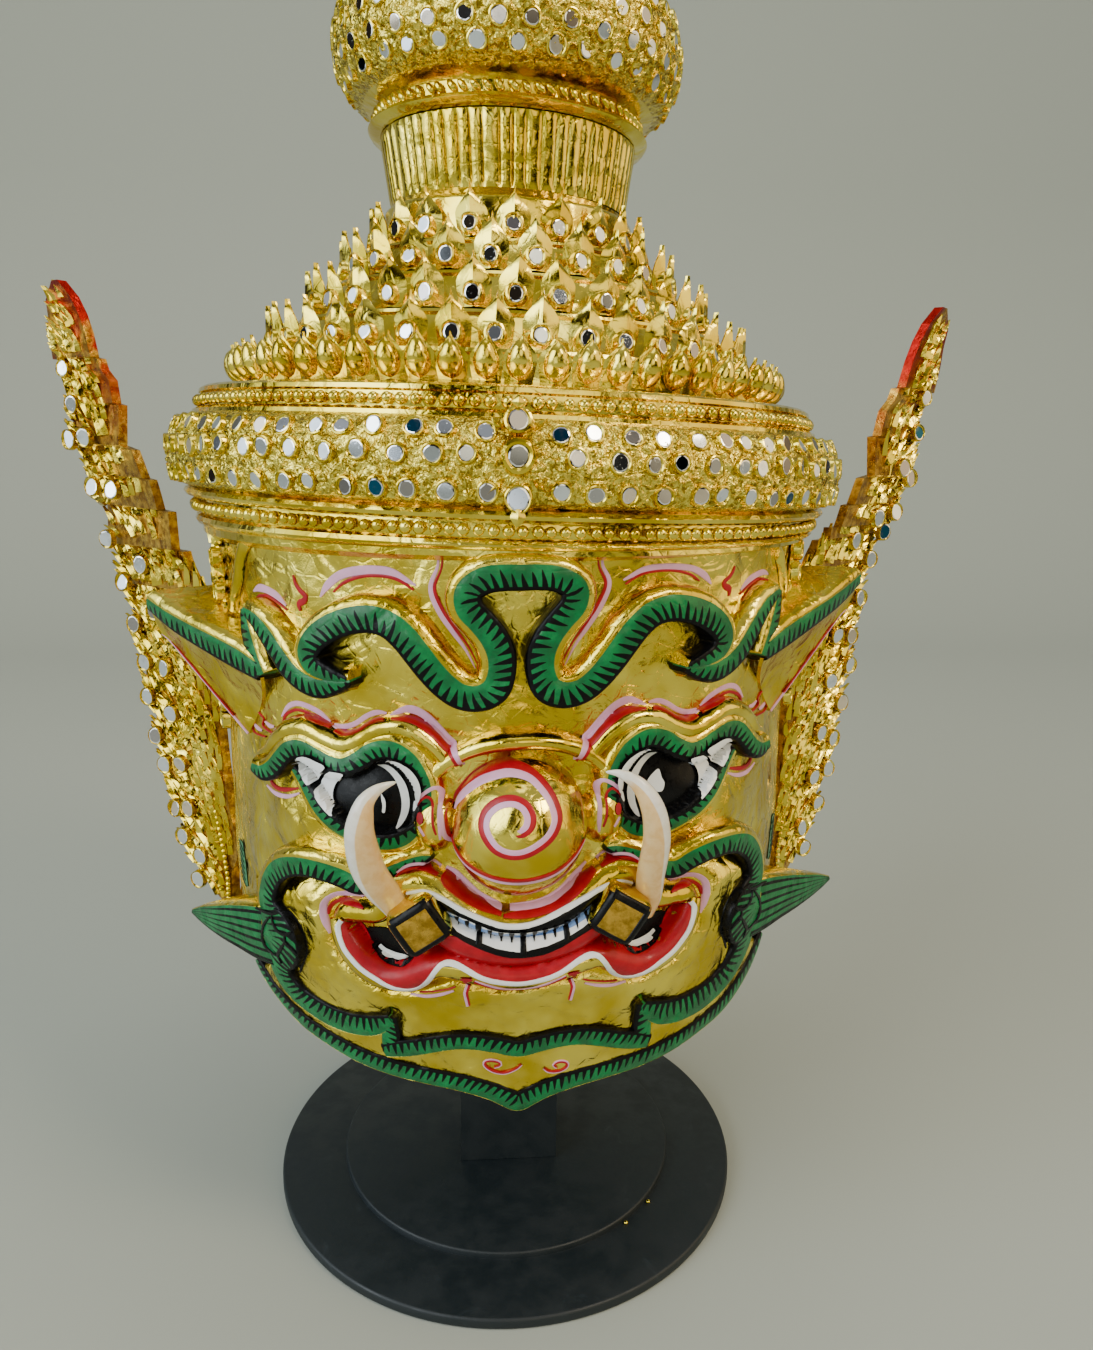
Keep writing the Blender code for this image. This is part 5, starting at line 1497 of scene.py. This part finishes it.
# the pieces that ride on the frame
temples.piece("temple_leaves", "gilt_lacquer", [FOIL_SMOOTH], 30)
temple_bezels.piece("temple_bezels", "gilt_lacquer", [FOIL_SMOOTH])
temple_glass.piece("temple_mirrors", "gilt_lacquer", [MIRROR])
web.piece("brow_web", "gilt_lacquer", [FOIL, PINK, RED])
body.piece("crown_body", "gilt_lacquer", [FOIL_SMOOTH, LINING])
paste.piece("crown_paste", "gilt_lacquer", [PASTE])
beads.piece("crown_beads", "gilt_lacquer", [FOIL_SMOOTH])
bezels.piece("crown_bezels", "gilt_lacquer", [FOIL_SMOOTH])
glass.piece("crown_mirrors", "gilt_lacquer", [MIRROR])
petals.piece("crown_petals", "gilt_lacquer", [FOIL_SMOOTH], 30)
piece = spire.piece("spire_body", "gilt_wood", [FOIL_SMOOTH])
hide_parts("spire")
spire_paste.piece("spire_paste", "gilt_wood", [PASTE])
spire_bezels.piece("spire_bezels", "gilt_wood", [FOIL_SMOOTH])
spire_glass.piece("spire_mirrors", "gilt_wood", [MIRROR])

# tusks, each on its own path
for side, name in ((1, "left"), (-1, "right")):
    heap = Heap("along", "side")
    path = np.array(TUSKS[side], float)
    t = np.linspace(0, len(path) - 1, 60)
    rows = np.stack([read(np.column_stack([np.arange(len(path)), path]), t, k + 1) for k in range(4)], -1)
    rows[-1, 3] = 0.15
    run = unit(np.gradient(rows[:, :3] * (1, -1, 1), axis=0))
    turns = full_turn(28)
    points, painted_bounce_side = [], []
    for k, (x, y, z, half) in enumerate(rows):
        out = unit((0, -1, 0) + run[k] * run[k, 1])
        over = np.cross(run[k], out)
        ring = np.array([x, -y, z]) + half * (np.cos(turns)[:, None] * over
                                              + 0.8 * np.sin(turns)[:, None] * out)
        points.append(leaned(ring * (-side, 1, 1)))
        # side of each point round the tusk, which places its painted reflected gold light
        painted_bounce_side.append(np.cos(turns) * np.sign(over[0] or 1) * -1)
    count = len(turns)
    heap.add(np.concatenate(points), capped(len(rows), count), side=np.concatenate(painted_bounce_side),
             along=np.repeat(np.linspace(0, 1, len(rows)), count))
    piece = heap.piece("ivory_tusk_" + name, "tusk_ivory", [IVORY])
    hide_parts("tusk_" + name)

face = shell.piece("face_shell", "gilt_lacquer", [FOIL, LINING])
bands.piece("face_bands", "gilt_lacquer", [GREEN_BAND, FOIL_SMOOTH, FOIL_SMOOTH, WING_BAND])
nose.piece("nose", "gilt_lacquer", [FOIL_SMOOTH])
sockets.piece("tusk_sockets", "gilt_lacquer", [FOIL_SMOOTH, DULL_GOLD])
paint.piece("face_paint", "gilt_lacquer", PAINTS)
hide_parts("mask")

# stand, camera, floor and light
foot = Heap()
FOOT = (
    (1, 0.05), (105.2, 0.05), (105.9, 0.8), (106, 1.6), (105.95, 3.9), (105.6, 4.6), (104.9, 4.95),
    (77.4, 4.98), (77, 5.1), (76.95, 7.2), (76.7, 7.7), (76.1, 7.98), (1, 8),
)
turned(foot, FOOT, 240, 0, unevenness(0.05, 5), foot=True, top=True)
piece = foot.piece("stand_foot", "dark_stand", [STAND])
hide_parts("stand_base")
specks = Heap()
for x, y in ((49.1, -61.2), (60.7, -49.6)):
    specks.add(*ball((x, y, 5.7), (1.0, 1.0, 0.8), 12, 8))
specks.piece("fallen_beads", "dark_stand", [FOIL_SMOOTH])
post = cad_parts["stand_post"]
post.data.materials.clear()
post.data.materials.append(STAND)

camera_data = bpy.data.cameras.new("camera")
camera_data.sensor_fit = "AUTO"
camera_data.sensor_width = 36
camera_data.lens = FOCAL_PX * 36 / PHOTO_HEIGHT_PX
camera = bpy.data.objects.new("camera", camera_data)
bpy.context.collection.objects.link(camera)
pitch, yaw, roll = (math.radians(a) for a in (12.81, 4.33, -0.572))
forward = Vector((math.sin(yaw) * math.cos(pitch), math.cos(yaw) * math.cos(pitch), -math.sin(pitch)))
right = Vector((math.cos(yaw), -math.sin(yaw), 0))
down = forward.cross(right)
right_rolled = right * math.cos(roll) + down * math.sin(roll)
down_rolled = down * math.cos(roll) - right * math.sin(roll)
basis = Matrix((right_rolled, -down_rolled, -forward)).transposed().to_4x4()
camera.matrix_world = Matrix.Translation(Vector((-14.5, -416.2, 329.2)) * MM) @ basis
bpy.context.scene.camera = camera


def floor():
    """Wide pale floor that curves up far behind the object."""
    mesh = bpy.data.meshes.new("floor")
    arc = [(1.2 + 1.0 * math.sin(t), 1.0 - 1.0 * math.cos(t)) for t in np.linspace(0, math.pi / 2, 24)]
    rows = [(-3.5, 0.0)] + arc + [(2.2, 4.0)]
    points = [(x, y, z) for y, z in rows for x in (-4.5, 4.5)]
    mesh.from_pydata(points, [], grid(len(rows), 2))
    mesh.shade_smooth()
    thing = bpy.data.objects.new("floor", mesh)
    bpy.context.collection.objects.link(thing)
    n = Nodes("floor_pale")
    mesh.materials.append(n.finish(Base_Color=(0.40, 0.43, 0.38), Roughness=0.7))


def light(name, place, aim, size, power, colour):
    """Rectangular light; power in watts."""
    data = bpy.data.lights.new(name, "AREA")
    data.shape = "RECTANGLE"
    data.size, data.size_y = size
    data.energy = power
    data.color = colour
    thing = bpy.data.objects.new(name, data)
    bpy.context.collection.objects.link(thing)
    thing.location = place
    thing.rotation_euler = (Vector(aim) - Vector(place)).to_track_quat("-Z", "Y").to_euler()


floor()
light("window", (-1.5, -1.2, 1.2), (0, 0, 0.28), (1.3, 1.5), 25, (0.92, 0.97, 1.0))
light("lamp", (1.1, -1.0, 1.5), (0, 0, 0.3), (0.5, 0.6), 15, (1.0, 0.86, 0.66))
light("ceiling", (0.1, -0.1, 2.2), (0, 0, 0.3), (1.0, 1.0), 7, (1.0, 0.98, 0.92))

world = bpy.data.worlds.new("room")
world.use_nodes = True
tree = world.node_tree
direction = tree.nodes.new("ShaderNodeTexCoord").outputs["Generated"]
total = None
for way, outer, inner, colour in (
        ((0, 0, 1), 0.35, 0.95, (0.42, 0.43, 0.44)), ((-0.85, -0.35, 0.25), 0.80, 0.93, (1.9, 2.15, 2.3)),
        ((0.9, -0.2, 0.3), 0.84, 0.95, (1.7, 1.35, 0.8)), ((0.1, 1, 0.1), 0.3, 0.9, (0.20, 0.20, 0.20)),
        ((0.25, -1, 0.35), 0.93, 0.98, (1.9, 1.7, 1.2)), ((-0.3, -1, -0.1), 0.955, 0.985, (1.5, 1.6, 1.6))):
    dot = tree.nodes.new("ShaderNodeVectorMath")
    dot.operation = "DOT_PRODUCT"
    tree.links.new(direction, dot.inputs[0])
    dot.inputs[1].default_value = Vector(way).normalized()
    part = tree.nodes.new("ShaderNodeMapRange")
    part.interpolation_type = "SMOOTHSTEP"
    tree.links.new(dot.outputs["Value"], part.inputs["Value"])
    part.inputs["From Min"].default_value = outer
    part.inputs["From Max"].default_value = inner
    glow = tree.nodes.new("ShaderNodeVectorMath")
    glow.operation = "SCALE"
    glow.inputs[0].default_value = colour
    tree.links.new(part.outputs["Result"], glow.inputs["Scale"])
    together = tree.nodes.new("ShaderNodeVectorMath")
    together.operation = "ADD"
    tree.links.new(glow.outputs[0], together.inputs[0])
    if total is None:
        together.inputs[1].default_value = (0.02, 0.018, 0.015)
    else:
        tree.links.new(total, together.inputs[1])
    total = together.outputs[0]
tree.links.new(total, tree.nodes["Background"].inputs["Color"])
bpy.context.scene.world = world
